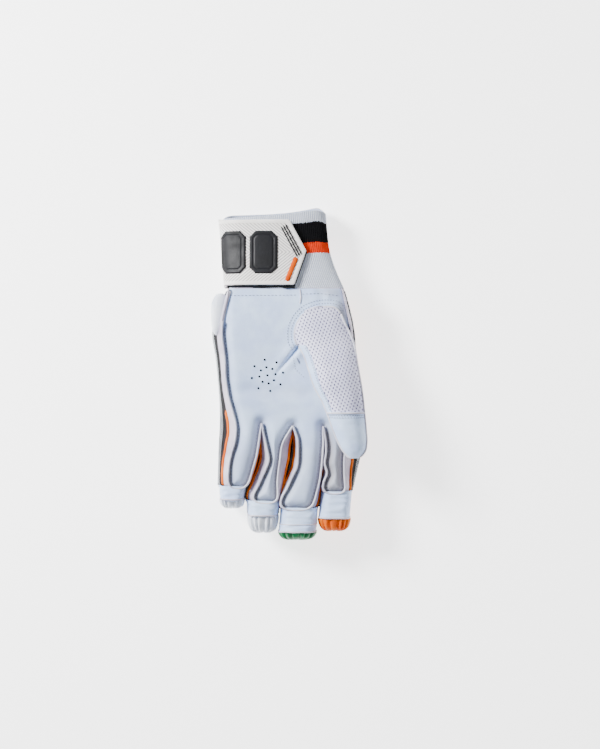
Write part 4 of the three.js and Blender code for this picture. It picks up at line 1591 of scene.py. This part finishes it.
@dataclass
class Padding:
    """Foam rolls across the back of the hand and of each finger, and the bolster beside the heel."""

    make: Maker
    hand: Hand
    inset: float = 0.8
    power: float = 2.9
    end_power: float = 5.0
    bolster_power: float = 2.4
    bolster_end_power: float = 2.6
    seam: float = 1.1  # thickness of the seam round each end of a roll
    cover_gap: float = 0.05  # least heights above the floor
    seam_gap: float = 0.62
    kinds: tuple[str, ...] = ("wrist_roll", "knuckle_roll", "low_roll", "mid_roll", "top_roll")

    def build(self) -> None:
        """Builds every roll and the bolster."""
        for i, finger in enumerate(FINGERS):
            for kind in self.kinds:
                self.roll(i, f"{finger.name}_{kind}")
        self.bolster()

    def roll(self, i: int, node: str) -> None:
        """One roll that lies across a finger.

        Args:
            i: Number of the finger.
            node: The solid it stands for.
        """
        _, (start, end), (low, high) = self.make.axes.box(node)
        share = np.sin(np.linspace(-math.pi / 2, math.pi / 2, 35))
        angle = np.arange(44) / 44 * 2 * math.pi
        ahead, up = oval(angle, self.power)
        swell = swelling(share, self.end_power)
        middle, half = (start + end) / 2, (end - start) / 2 + 0.4
        down = middle + half * (0.45 + 0.55 * swell)[:, None] * ahead[None]
        z = (low + high) / 2 + (high - low) / 2 * swell[:, None] * up[None]
        left, right = self.hand.strip_edges(i, down, True)
        across = (left + right) / 2 + ((right - left) / 2 - self.inset) * share[:, None]
        grid = surface(across, down, z)
        grid[..., 2] += 0.35 * wrinkle(grid, 9.0, i) * swell[:, None]
        crumple = wrinkle(grid * np.array([0.5, 1.0, 1.0]), 3.2, 11.0 + i)
        grid[..., 1] += 0.45 * crumple * (1 - swell)[:, None]
        self.off_floor(grid, self.cover_gap)
        piece = self.make.sheet(f"{node}_cover", grid, True)
        finger = FINGERS[i]
        dress(piece, finger.finish)
        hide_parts(node)
        for sign, side in ((1, "right"), (-1, "left")):
            at = int(np.argmin(np.abs(share - sign * 0.93)))
            ring = grid[at] + np.array([sign * 0.25, 0, 0])
            self.off_floor(ring, self.seam_gap)
            seam = self.make.tube(f"{node}_seam_{side}", ring, self.seam, self.seam, 6, True)
            dress(seam, LIP)

    def off_floor(self, points: np.ndarray, gap: float) -> None:
        """Lifts points that lie lower than a gap above the floor."""
        points[..., 2] = np.maximum(points[..., 2], np.maximum(self.hand.form.floor(points[..., 1]), 0) + gap)

    def bolster(self) -> None:
        """The padded bolster beside the heel of the hand, with its binding."""
        (outer, _), (start, end), (low, high) = self.make.axes.box("heel_bolster")
        share = np.sin(np.linspace(-math.pi / 2, math.pi / 2, 44))
        angle = np.arange(36) / 36 * 2 * math.pi
        side, up = oval(angle, self.bolster_power)
        swell = swelling(share, self.bolster_end_power)
        middle, half = (start + end) / 2, (end - start) / 2 - 0.3
        down = (middle + half * share)[:, None]
        inner = Profile(((0, -47.5), (8, -48.6), (21, -51), (40, -54)))(down)
        width = (inner - outer - 0.6) / 2
        across = inner - width + width * swell[:, None] * side[None]
        z = (low + high) / 2 + (high - low) / 2 * (0.3 + 0.7 * swell[:, None]) * up[None]
        grid = surface(across, down, z)
        grid[..., 0] += 0.5 * wrinkle(grid, 7.0, 6.0) * swell[:, None]
        piece = self.make.sheet("heel_bolster_cover", grid, True)
        dress(piece, WHITE)
        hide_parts("heel_bolster")
        path = [(-48.2, 2.6, 41.4), (-50.6, 9, 42.4), (-52.6, 18, 43), (-54.6, 28, 43.4), (-55.2, 31, 42.6)]
        dress(self.make.tube("heel_binding", soften(path, 3), 3.4, 2.2, 8), LIP)


@dataclass
class Fingertips:
    """The leather band across each fingertip and the gathered end of its padding."""

    make: Maker
    hand: Hand
    pleats: int = 17
    pleat_points: int = 12  # round each pleat
    rows: int = 26
    overlap: float = 2.2  # of the band over the end of the leather front
    tuck: float = 4.0  # length of the gathered end inside the band
    band_power: float = 3.4
    tip_power: float = 2.7

    def build(self) -> None:
        """Builds the bands and the gathered ends."""
        for i, finger in enumerate(FINGERS):
            self.band(i, finger)
            self.gathers(i, finger)

    def band(self, i: int, finger: FingerForm) -> None:
        """Leather band that arches over the fingertip.

        Args:
            i: Number of the finger.
            finger: Its form.
        """
        run = np.linspace(0, 1, self.rows)
        begin = finger.end - self.overlap
        down = begin + (finger.band_end - begin) * run
        left = finger.left_low(finger.end - 6) + 0.4
        right = finger.right_low(finger.end - 6) - 0.4
        ease = run**0.8
        left = left + (finger.tip[0] - left) * ease
        right = right + (finger.tip[1] - right) * ease
        angle = np.linspace(math.pi, 0, 49)
        side, up = oval(angle, self.band_power)
        top = self.band_top(finger) - 3.9 * (1 - run) ** 1.6
        low = self.hand.form.back(down) - 0.5
        across = ((left + right) / 2)[:, None] + ((right - left) / 2)[:, None] * side[None]
        z = low[:, None] + (top - low)[:, None] * up[None]
        grid = surface(across, down[:, None], z)
        stretched = grid * np.array([0.28, 1.0, 0.5])
        grid[..., 2] += 1.15 * wrinkle(stretched, 3.0, 30.0 + i) + 0.3 * wrinkle(grid, 6.0, 40.0 + i)
        grid[..., 1] += 0.5 * wrinkle(grid, 8.0, 50.0 + i)
        piece = self.make.sheet(f"{finger.name}_tip_band_leather", grid)
        thicken(piece, 1.4)
        dress(piece, PALM)
        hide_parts(f"{finger.name}_tip_band")
        for fold in finger.folds:
            at = int(np.argmin(np.abs(down - fold)))
            line = grid[at] + np.array([0, 0, 0.15])
            dress(self.make.tube(f"{finger.name}_band_fold", line[::2], 1.1, 1.0, 8), LIP)
        edge = grid[-1] + np.array([0, -0.6, 0.25])
        dress(self.make.tube(f"{finger.name}_band_edge", edge[::2], 1.5, 1.5, 8), LIP)

    def band_top(self, finger: FingerForm) -> float:
        """Height of the band where it meets the gathers."""
        return float(self.hand.form.top(np.array(finger.end))) + 1.9

    def gathers(self, i: int, finger: FingerForm) -> None:
        """Pleated, closed end of the padding behind the fingertip.

        Args:
            i: Number of the finger.
            finger: Its form.
        """
        columns = self.pleats * self.pleat_points
        reach = finger.tip_end - finger.band_end + self.tuck
        turn = np.linspace(0, math.pi / 2, self.rows)
        angle = np.arange(columns) / columns * 2 * math.pi
        _, _, (low, _) = self.make.axes.box(f"{finger.name}_gathered_tip")
        high = self.band_top(finger) - 0.7
        wander = 0.35 * wrinkle(surface(np.cos(angle) * 9, np.sin(angle) * 9, float(i)), 4.0, 3.0)
        ridge = np.abs(np.sin(self.pleats * (angle + wander) / 2)) ** 0.8
        side, up = oval(angle, self.tip_power)
        body = np.cos(turn) ** 0.42
        body[-1] = 0.02
        depth = (0.12 * np.sin(turn * 1.8) + 0.06) * np.cos(turn) ** 0.4
        along = (np.sin(turn)[:, None] ** 0.9) * (0.93 + 0.07 * ridge[None])
        down = finger.band_end - self.tuck + reach * along
        within = climb(-down, -finger.band_end - 0.5, 1)
        scale = body[:, None] * (1 - depth[:, None] * (1 - ridge[None])) * (1 - 0.17 * within)
        middle = (finger.tip[0] + finger.tip[1]) / 2
        half = (finger.tip[1] - finger.tip[0]) / 2 + 1.3
        across = middle + half * scale * side[None]
        z = (low + high) / 2 + (high - low) / 2 * scale * up[None]
        grid = surface(across, down, z)
        grid[..., 1] += 0.6 * wrinkle(grid, 7.0, 60.0 + i)
        piece = self.make.sheet(f"{finger.name}_gathered_end", grid, True)
        dress(piece, ORANGE_END if finger.slot == "orange" else finger.finish)
        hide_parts(f"{finger.name}_gathered_tip")


@dataclass
class Thumb:
    """Perforated front, leather tip and back of the thumb, its seams and its padded guards."""

    make: Maker
    hand: Hand
    left: Profile = Profile(
        ((16, 31.0), (17.2, 22.1), (22.1, 14.3), (28.9, 9.4), (35.8, 7.0), (43.6, 7.0), (49.4, 10.4),
         (56, 14.3), (70, 19.2), (84.5, 24.1), (95, 29.9), (107, 34.8), (120.6, 39.7), (130, 43.6),
         (139, 49.0), (143.4, 53.0))
    )
    right: Profile = Profile(
        ((16, 41.6), (21, 45.5), (29, 49), (45.5, 56.3), (64, 59.5), (89, 63.4), (107, 65.3), (120, 66.5),
         (131, 67), (138, 65.5), (143.4, 61.0))
    )
    left_z: Profile = Profile(((16, 46.4), (30, 46.8), (49, 48.4), (60, 53), (75, 59), (95, 62), (143, 62)))
    right_z: Profile = Profile(((16, 44), (30, 43.4), (49, 46), (64, 52), (80, 58), (107, 61), (143, 62)))
    crown: Profile = Profile(
        ((16, 0.3), (22, 2.6), (30, 5), (49, 9.6), (64, 12), (84, 12), (107, 11.3), (120, 10.8), (131, 9),
         (139, 6), (143.5, 1))
    )
    under: Profile = Profile(
        ((46, 1), (52, 3), (64, 9), (84, 11.5), (107, 10.5), (120, 9.5), (131, 7.5), (139, 5), (143.5, 1))
    )
    panel_end: float = 105.6
    lattice_turn: float = 14.0  # degrees that the rows of holes lean with the thumb
    end: float = 143.5
    leather: float = 1.3
    guard_power: float = 2.6
    guard_ribs: float = 3.4  # from rib to rib

    def build(self) -> None:
        """Builds the thumb."""
        self.panel()
        self.tip()
        self.back()
        self.seams()
        self.guards()

    def grid(self, start: float, stop: float, above: bool, rows: int, columns: int = 41) -> np.ndarray:
        """Part of the thumb's front or back.

        Args:
            start: Where it starts, down from the wrist seam.
            stop: Where it ends.
            above: True for the front, False for the back.
            rows: Rows down the thumb.
            columns: Points across it.

        Returns:
            Grid of points.
        """
        down = np.linspace(start, stop, rows)
        share = (1 - np.cos(np.linspace(0, math.pi, columns))) / 2
        left, right = self.left(down), self.right(down)
        across = left[:, None] + (right - left)[:, None] * share[None]
        base = self.left_z(down)[:, None] * (1 - share) + self.right_z(down)[:, None] * share
        arch = (1 - np.abs(2 * share - 1) ** 2.5) ** 0.8
        lift = self.crown(down) if above else -self.under(down)
        z = base + lift[:, None] * arch[None]
        return surface(across, down[:, None], z)

    def panel(self) -> None:
        """Perforated front panel, one soft crowned sheet."""
        columns = 49
        grid = self.grid(16.2, self.panel_end, True, 110, columns)
        share = np.linspace(0, 1, columns)
        rim = np.minimum(share, 1 - share)
        grid[..., 2] += 0.6 * wrinkle(grid, 16.0, 70.0) * np.clip(rim / 0.1, 0, 1)
        turn = math.radians(self.lattice_turn)
        along = np.array([[math.cos(turn), math.sin(turn)], [-math.sin(turn), math.cos(turn)]])
        piece = self.make.sheet("thumb_panel", grid, uv=grid[..., :2] @ along)
        thicken(piece, 1.2)
        dress(piece, PANEL)
        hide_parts("thumb_front")

    def tip(self) -> None:
        """Leather over the end of the thumb."""
        grid = self.grid(self.panel_end - 1.0, self.end, True, 60)
        grid[..., 2] += 0.35
        stretched = grid * np.array([0.4, 1.0, 0.4])
        grid[..., 2] += 0.5 * wrinkle(stretched, 4.5, 80.0) + 0.5 * wrinkle(grid, 14.0, 82.0)
        piece = self.make.sheet("thumb_tip_leather", grid, uv=grid[..., :2])
        thicken(piece, self.leather)
        dress(piece, PALM)
        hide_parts("thumb_tip")

    def back(self) -> None:
        """Leather on the back of the thumb."""
        grid = self.grid(46.0, self.end, False, 90)
        grid[..., 2] += 0.4 * wrinkle(grid, 11.0, 85.0)
        piece = self.make.sheet("thumb_back_leather", grid, uv=grid[..., :2])
        thicken(piece, self.leather, 1)
        dress(piece, WALL)
        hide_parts("thumb_back")

    def edge(self, left: bool, start: float, stop: float, lift: float = 0.2) -> np.ndarray:
        """Path along one edge of the thumb.

        Args:
            left: True for the left edge.
            start: Where it starts, down from the wrist seam.
            stop: Where it ends.
            lift: Distance above the edge.

        Returns:
            Array (n, 3) of points.
        """
        down = np.arange(start, stop, 1.5)
        across = (self.left if left else self.right)(down)
        z = (self.left_z if left else self.right_z)(down) + lift
        return surface(across, down, z)

    def seams(self) -> None:
        """Welts along the edges, the seam of the tip, and the stitch rows round the panel."""
        rim = np.vstack([self.edge(True, 50.0, self.end), self.edge(False, 22.0, self.end)[::-1]])
        dress(self.make.tube("thumb_welt", soften(rim, 1), 2.2, 2.6, 10), LIP)
        columns = 20
        strip = self.grid(49.0, self.panel_end + 0.5, True, 90, 81)[:, :columns]
        strip[..., 2] += 1.0 - 0.8 * (np.arange(columns) == columns - 1)
        band = self.make.sheet("thumb_edge_leather", strip, uv=strip[..., :2])
        thicken(band, 1.0)
        dress(band, PALM)
        line = strip[3:-3, 16] + np.array([0, 0, 0.3])
        dress(self.make.stitches("thumb_edge_stitches", line, 1.5, 1.1, 0.45), THREAD)
        row = self.grid(self.panel_end, self.panel_end + 0.1, True, 2, 41)[0]
        dress(self.make.tube("thumb_tip_seam", row + np.array([0, 0, 1.1]), 1.8, 1.8, 8), LIP)
        for by, name in ((2.0, "upper"), (3.9, "lower")):
            line = self.grid(self.panel_end + by, self.panel_end + by + 0.1, True, 2, 41)[0][2:-2]
            line = line + np.array([0, 0, 0.85])
            thread = self.make.stitches(f"thumb_tip_stitches_{name}", line, 1.5, 1.1, 0.5)
            dress(thread, THREAD)
        arc = soften(
            [(10.4, 49.6), (7.6, 46.4), (6.6, 40), (7.4, 33.6), (9.9, 28), (14.4, 22), (22.1, 17.6),
             (31.9, 15.7), (41.6, 16.2), (45.8, 21.4)],
            3,
        )
        rim = self.hand.on_palm(arc, 1.0)
        dress(self.make.tube("thumb_panel_border", rim, 1.8, 1.8, 8), LIP)
        middle = np.array([27.0, 40.0])
        for by, name in ((3.0, "inner"), (6.0, "outer")):
            line = self.hand.on_palm(arc + by * unit(arc - middle), 0.3)
            thread = self.make.stitches(f"thumb_arc_stitches_{name}", line, 1.4, 1.1, 0.55)
            dress(thread, THREAD)

    def guards(self) -> None:
        """Two ribbed pads on the back of the thumb."""
        for node in ("thumb_guard_low", "thumb_guard_top"):
            _, (start, end), (low, _) = self.make.axes.box(node)
            share = np.sin(np.linspace(-math.pi / 2, math.pi / 2, 60))
            angle = np.arange(60) / 60 * 2 * math.pi
            side, up = oval(angle, self.guard_power)
            swell = swelling(share, 4)
            down = (start + end) / 2 + (end - start) / 2 * share
            left, right = self.left(down) + 2.0, self.right(down) - 0.6
            top = (self.left_z(down) + self.right_z(down)) / 2 - 2.0
            middle, half = (top + low) / 2, (top - low) / 2
            ribs = 1 - 0.035 * (0.5 + 0.5 * np.cos(down * 2 * math.pi / self.guard_ribs))
            across = ((left + right) / 2)[:, None] + ((right - left) / 2 * swell)[:, None] * side[None]
            z = middle[:, None] + (half * swell * ribs)[:, None] * up[None]
            grid = surface(across, down[:, None], z)
            piece = self.make.sheet(f"{node}_pad", grid, True)
            dress(piece, GUARD)
            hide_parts(node)


@dataclass
class Wristband:
    """Ribbed knitted tube, open at both ends, and the shape that the strap lies on."""

    make: Maker
    length: float = 62.0
    lean_by: float = -10.5
    narrow_by: float = 10.0
    power: float = 2.5
    seam_low: float = 14.25
    seam_high: float = 39.9
    drop: float = 10.0
    rim_depth: float = 30.0
    rim_slope: float = 0.05
    rim_rise: float = 0.0016
    rim_corner: float = 4.2  # how far the rim falls at its corner
    ribs: int = 121
    rib_points: int = 6  # round each rib
    rib_pitch: float = 1.9
    rib_height: float = 0.75
    knit: float = 2.2  # thickness
    lean: Profile = Profile(((0, 0), (0.2, 0.35), (0.46, 0.7), (0.73, 0.87), (1, 1)))
    spread: Profile = Profile(((0, 0), (0.2, 0.5), (0.46, 0.9), (0.73, 1), (1, 1)))
    open: Profile = Profile(((0, 0), (0.2, 0.15), (0.46, 0.5), (0.73, 0.8), (1, 1)))

    def section(self, along: float) -> tuple[float, float, float, float]:
        """Works out the tube's section.

        Args:
            along: Share of the length, from the seam to the rim.

        Returns:
            Its middle across, half width, lowest and highest height.
        """
        depth = self.seam_high - self.seam_low
        low = self.seam_low - self.open(along) * self.drop
        high = low + depth + self.open(along) * (self.rim_depth - depth)
        half = (WRIST_WIDTH - self.narrow_by * self.spread(along)) / 2
        return self.lean(along) * self.lean_by, half, float(low), float(high)

    def ring(self, up_from_seam: float, angle: np.ndarray, lift: float = 0.0) -> np.ndarray:
        """Points round the tube at a height above the wrist seam, from its right edge over the top.

        Args:
            up_from_seam: Distance from the wrist seam towards the rim.
            angle: Angles round the tube.
            lift: Distance out of its surface.

        Returns:
            Array (n, 3) of glove points.
        """
        middle, half, low, high = self.section(min(max(up_from_seam / self.length, 0.0), 1.0))
        side, up = oval(angle, self.power)
        across = middle + (half + lift) * side
        z = (low + high) / 2 + ((high - low) / 2 + lift) * up
        return surface(across, -up_from_seam, z)

    def around(self, up_from_seam: float, start: float, reach: np.ndarray, lift: float) -> np.ndarray:
        """Points at distances round the tube, from a place on its top towards its outer edge.

        Args:
            up_from_seam: Distance from the wrist seam towards the rim.
            start: Place across at which to start.
            reach: Distances from the start.
            lift: Distance out of the surface.

        Returns:
            Array (n, 3) of glove points.
        """
        middle, half, _, _ = self.section(min(max(up_from_seam / self.length, 0.0), 1.0))
        share = np.clip((start - middle) / (half + lift), -1, 1)
        first = math.acos(np.sign(share) * abs(share) ** (self.power / 2))
        line = self.ring(up_from_seam, np.linspace(first, first + 1.35 * math.pi, 3000), lift)
        return points_along(line, reach)

    def build(self) -> None:
        """Builds the knitted tube."""
        rows, columns = 66, self.ribs * self.rib_points
        even = np.linspace(0, 2 * math.pi, 2000)
        share = np.linspace(0, 1, rows)
        grid = np.empty((rows, columns, 3))
        phase = np.arange(columns) / columns * self.ribs * 2 * math.pi
        for r, along in enumerate(share):
            line = self.ring(along * self.length, even)
            points = points_along(line, np.arange(columns) / columns * lengths_along(line)[-1])
            ahead = np.roll(points, -1, axis=0) - np.roll(points, 1, axis=0)
            out = unit(surface(ahead[:, 2], 0.0, -ahead[:, 0]))
            centre = points.mean(axis=0)
            out *= np.sign(np.sum(out * (points - centre), axis=1, keepdims=True))
            rib = np.abs(np.cos(phase / 2)) ** 1.3
            points = points + out * (rib * self.rib_height)[:, None]
            right = points[:, 0] + 18.0
            points[:, 1] -= along * (self.rim_slope * right + self.rim_rise * np.maximum(right, 0) ** 2)
            points[:, 1] += along**2 * self.rim_corner * np.clip((right - 42) / 9, 0, 1) ** 2
            below = np.clip((centre[2] - points[:, 2]) / 10, 0, 1)
            points[:, 1] -= 3.5 * along**3 * below
            grid[r] = points
        grid[..., 2] += 0.5 * wrinkle(grid, 13.0, 90.0)
        arc = np.arange(columns + 1) / columns * self.ribs * self.rib_pitch
        from_rim = (1 - share) * self.length
        piece = self.make.sheet("ribbed_wristband", grid, True, np.stack(np.meshgrid(arc, from_rim), axis=-1))
        thicken(piece, self.knit)
        dress(piece, KNIT)
        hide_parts("wristband")


@dataclass
class Strap:
    """Wrist strap that wraps the outer edge of the wristband to a pointed end on the palm side."""

    make: Maker
    band: Wristband
    low: float = 2.6
    high: float = 58.6
    point: tuple[float, float] = (16.9, 32.0)
    high_shoulder: float = 2.6
    low_shoulder: float = 6.7
    under: float = 26.0
    thickness: float = 2.2
    lift: float = 4.6
    pitch: float = 1.6
    rib: float = 0.42
    border: float = 3.0
    border_height: float = 0.55
    pad_height: float = 1.3
    pads: tuple[tuple[str, float], ...] = (("inner", -7.5), ("outer", -34.4))
    pad_width: float = 24.0
    pad_low: float = 12.3
    pad_high: float = 48.9
    corner: float = 5.0

    def build(self) -> None:
        """Builds the tape, the strap and what is raised on it."""
        self.tape()
        self.patch()
        for name, start in self.pads:
            self.pad(name, start)
        self.trim()

    def right_edge(self, up: np.ndarray) -> np.ndarray:
        """Pointed end of the strap.

        Args:
            up: Heights above the wrist seam.

        Returns:
            The place across of the strap's edge at each of them.
        """
        x, y = self.point
        low, high = (self.low_shoulder, self.low), (self.high_shoulder, self.high)
        plan = np.array(
            [(low[0] - 0.6, low[1]), (low[0] + 0.4, low[1] + 1.2), (x - 0.5, y - 1.6), (x, y),
             (x - 0.8, y + 1.6), (high[0] + 0.6, high[1] - 1.2), (high[0] - 0.8, high[1])]
        )
        return np.interp(up, plan[:, 1], plan[:, 0])

    def wrapped(self, up: float, start: float) -> float:
        """Length of the strap round the tube, from a start on top to its end underneath."""
        middle, half, low, high = self.band.section(up / self.band.length)
        return float(start - (middle - half)) + 0.82 * (high - low) + self.under - 6.0

    def tape(self) -> None:
        """Black tape between the strap and the wristband, which shows below the strap."""
        rows = np.linspace(-0.8, self.high - 2.0, 30)
        share = np.linspace(0, 1, 120)
        grid = []
        for up in rows:
            start = self.right_edge(np.array(max(up, self.low))) + (0.9 if up < self.point[1] else -2.5)
            grid.append(self.band.around(up, float(start), share * (self.wrapped(up, float(start)) - 2), 1.9))
            grid[-1][:, 1] = -up
        grid = np.array(grid)
        hidden = np.clip((37.5 - grid[0, :, 2]) / 2, 0, 1) * 4.6
        grid[0, :, 1] -= np.clip(1 - share * 1.9, 0, 1) * 2.4 + hidden
        piece = self.make.sheet("strap_hook_tape", grid)
        thicken(piece, 1.4)
        dress(piece, TAPE)
        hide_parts("strap_tape")

    def patch(self) -> None:
        """The moulded strap: a ribbed field inside a smooth raised border."""
        rows = np.linspace(self.low, self.high, 134)
        share = np.linspace(0, 1, 290)
        grid = np.empty((len(rows), len(share), 3))
        plan_x = np.empty(grid.shape[:2])
        for r, up in enumerate(rows):
            start = float(self.right_edge(up))
            reach = share * self.wrapped(up, start)
            grid[r] = self.band.around(up, start, reach, self.lift)
            plan_x[r] = start - reach
        height = np.repeat(rows[:, None], len(share), axis=1)
        edge = np.stack([self.right_edge(rows), rows], axis=1)
        to_edge = distance_to(np.stack([plan_x, height], axis=-1), [edge])
        to_edge = np.minimum(to_edge, np.minimum(height - self.low, self.high - height))
        to_edge = np.minimum(to_edge, (plan_x - plan_x[:, -1:]))
        inside = np.clip((to_edge - self.border) / 0.5, 0, 1)
        middle = (self.low + self.high) / 2
        slant = (plan_x * 0.62 + np.abs(height - middle) * 0.78) / self.pitch / 1.25
        ribs = np.abs(np.sin(slant * math.pi)) ** 0.8
        rounding = np.sqrt(np.clip(1 - (1 - np.clip(to_edge / 0.9, 0, 1)) ** 2, 0, 1))
        relief = (1 - inside) * self.border_height * rounding + inside * (ribs * self.rib - 0.1)
        grid = grid + self.out_of(grid) * (relief - 0.9 * (1 - rounding))[..., None]
        uv = np.stack([slant * self.pitch, inside], axis=-1)
        piece = self.make.sheet("strap_ribbed_field", grid, uv=uv)
        thicken(piece, self.thickness)
        dress(piece, RUBBER)
        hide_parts("strap_patch")

    def out_of(self, grid: np.ndarray) -> np.ndarray:
        """Finds which way is out of a grid that wraps the wristband.

        Args:
            grid: Array (rows, columns, 3) of points.

        Returns:
            A unit direction for each point.
        """
        along = np.gradient(grid, axis=1)
        out = unit(surface(-along[..., 2], 0.0, along[..., 0]))
        return out * np.where(along[..., :1] < 0, -1.0, 1.0)

    def pad(self, name: str, start: float) -> None:
        """A raised dark pad with cut corners and a sunk line inside its edge.

        Args:
            name: Which of the two pads it is.
            start: Place across of its right edge.
        """
        rows = np.linspace(self.pad_low, self.pad_high, 74)
        reach = np.linspace(0, self.pad_width, 50)
        grid = np.array([self.band.around(up, start, reach, self.lift) for up in rows])
        side = np.minimum(reach, self.pad_width - reach)[None]
        end = np.minimum(rows - self.pad_low, self.pad_high - rows)[:, None]
        cut = (side + end - self.corner) / math.sqrt(2)
        inner = np.minimum(np.minimum(np.repeat(side, len(rows), 0), np.repeat(end, len(reach), 1)), cut)
        raised = np.clip(inner / 0.9, 0, 1)
        raised = raised * raised * (3 - 2 * raised)
        groove = np.exp(-(((inner - 3.6) / 0.55) ** 2))
        height = self.pad_height * raised - 0.45 * groove * raised + 0.42
        grid = grid + self.out_of(grid) * height[..., None]
        keep = (inner > -0.35).ravel()
        quads = [quad for quad in quads_of(*grid.shape[:2]) if keep[quad].all()]
        uv = np.stack(np.meshgrid(reach, rows), axis=-1)
        piece = self.make.mesh(f"strap_pad_{name}", grid.reshape(-1, 3), quads, uv.reshape(-1, 2))
        thicken(piece, 1.2)
        dress(piece, DARK)
        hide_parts(f"strap_grip_{name}")

    def on_top(self, plan: np.ndarray, lift: float) -> np.ndarray:
        """Puts a path given by place across and height above the seam on the strap."""
        start, lifted = np.array([0.0]), self.lift + lift
        return np.array([self.band.around(up, x, start, lifted)[0] for x, up in resample(plan, 1.0)])

    def trim(self) -> None:
        """Three dark lines beside the point's upper edge and an orange bar beside its lower edge."""
        x, y = self.point
        tip = np.array([x, y])
        upper = np.array([self.high_shoulder, self.high]) - tip
        upper /= np.linalg.norm(upper)
        inward = np.array([-1.0, -0.5]) / math.sqrt(1.25)
        for k in range(3):
            start = tip - upper * 1.5 + inward * (5.2 + 2.1 * k)
            path = self.on_top(np.array([start, start + upper * 29.5]), 0.72)
            piece = self.make.tube(f"strap_side_line_{k + 1}", path, 1.15, 0.9, 8)
            dress(piece, DARK)
            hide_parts(f"strap_line_{k + 1}")
        path = self.on_top(np.array([(8.2, 26.0), (0.2, 5.9)]), 0.6)
        piece = self.make.tube("strap_side_bar", path, 4.0, 1.8, 12)
        dress(piece, BAR)
        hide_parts("strap_bar")


@dataclass(frozen=True)
class Studio:
    """Pale floor, soft lights and the camera straight above."""

    camera_at: tuple[float, float, float] = (0.0096, 0.0015, 1.543)
    lens: float = 85.0

    def build(self) -> None:
        """Builds the floor, the lights and the camera."""
        self.floor()
        self.camera()
        self.light("key_light", (-1.05, 0.6, 0.9), 0.42, 66.0)
        self.light("fill_light", (0.7, -0.5, 1.5), 1.2, 8.0)
        world = bpy.data.worlds.new("studio")
        world.use_nodes = True
        world.node_tree.nodes["Background"].inputs["Color"].default_value = (1.0, 1.0, 1.0, 1.0)
        world.node_tree.nodes["Background"].inputs["Strength"].default_value = 0.38
        bpy.context.scene.world = world

    def floor(self) -> None:
        """A wide pale floor under the glove."""
        data = bpy.data.meshes.new("studio_floor")
        far = 6.0
        data.from_pydata([(-far, -far, 0), (far, -far, 0), (far, far, 0), (-far, far, 0)], [], [(0, 1, 2, 3)])
        made = bpy.data.objects.new("studio_floor", data)
        bpy.context.scene.collection.objects.link(made)
        paint = bpy.data.materials.new("floor_paint")
        paint.use_nodes = True
        shader = paint.node_tree.nodes["Principled BSDF"]
        shader.inputs["Base Color"].default_value = (0.95, 0.95, 0.95, 1.0)
        shader.inputs["Roughness"].default_value = 0.9
        shader.inputs["Emission Color"].default_value = (1.0, 1.0, 1.0, 1.0)
        shader.inputs["Emission Strength"].default_value = 2.4
        data.materials.append(paint)
        made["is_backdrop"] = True

    def camera(self) -> None:
        """The camera, looking straight down with the wrist at the top of the picture."""
        data = bpy.data.cameras.new("camera")
        data.lens = self.lens
        data.sensor_fit = "VERTICAL"
        data.sensor_height = 36.0
        made = bpy.data.objects.new("camera", data)
        made.location = self.camera_at
        bpy.context.scene.collection.objects.link(made)
        bpy.context.scene.camera = made

    def light(self, name: str, place: tuple[float, float, float], size: float, power: float) -> None:
        """One square soft light that points at the glove.

        Args:
            name: Its name.
            place: Where it stands, in metres.
            size: Length of its side in metres.
            power: In watts.
        """
        data = bpy.data.lights.new(name, "AREA")
        data.size = size
        data.energy = power
        made = bpy.data.objects.new(name, data)
        made.location = place
        made.rotation_euler = (Vector((0, 0, 0.03)) - Vector(place)).to_track_quat("-Z", "Y").to_euler()
        bpy.context.scene.collection.objects.link(made)


def corners(box: tuple[Vector, Vector]) -> list[list[float]]:
    """A box as plain lists of numbers."""
    return [[float(v) for v in corner] for corner in box]


def main() -> None:
    """Loads the frame, builds the glove piece by piece and works out its two sizes."""
    logging.basicConfig(level=logging.INFO, format="%(name)s: %(message)s")
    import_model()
    solid_size = corners(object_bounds())
    make = Maker(GloveAxes.from_frame())
    Studio().build()
    hand = Hand(make)
    hand.build()
    Padding(make, hand).build()
    Fingertips(make, hand).build()
    Thumb(make, hand).build()
    band = Wristband(make)
    band.build()
    hand.wrist_facing(band.ring(0.0, np.linspace(0, 2 * math.pi, 400, endpoint=False), -1.5))
    Strap(make, band).build()
    {"solids": solid_size, "looks": corners(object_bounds())}


if __name__ == "__main__":
    main()
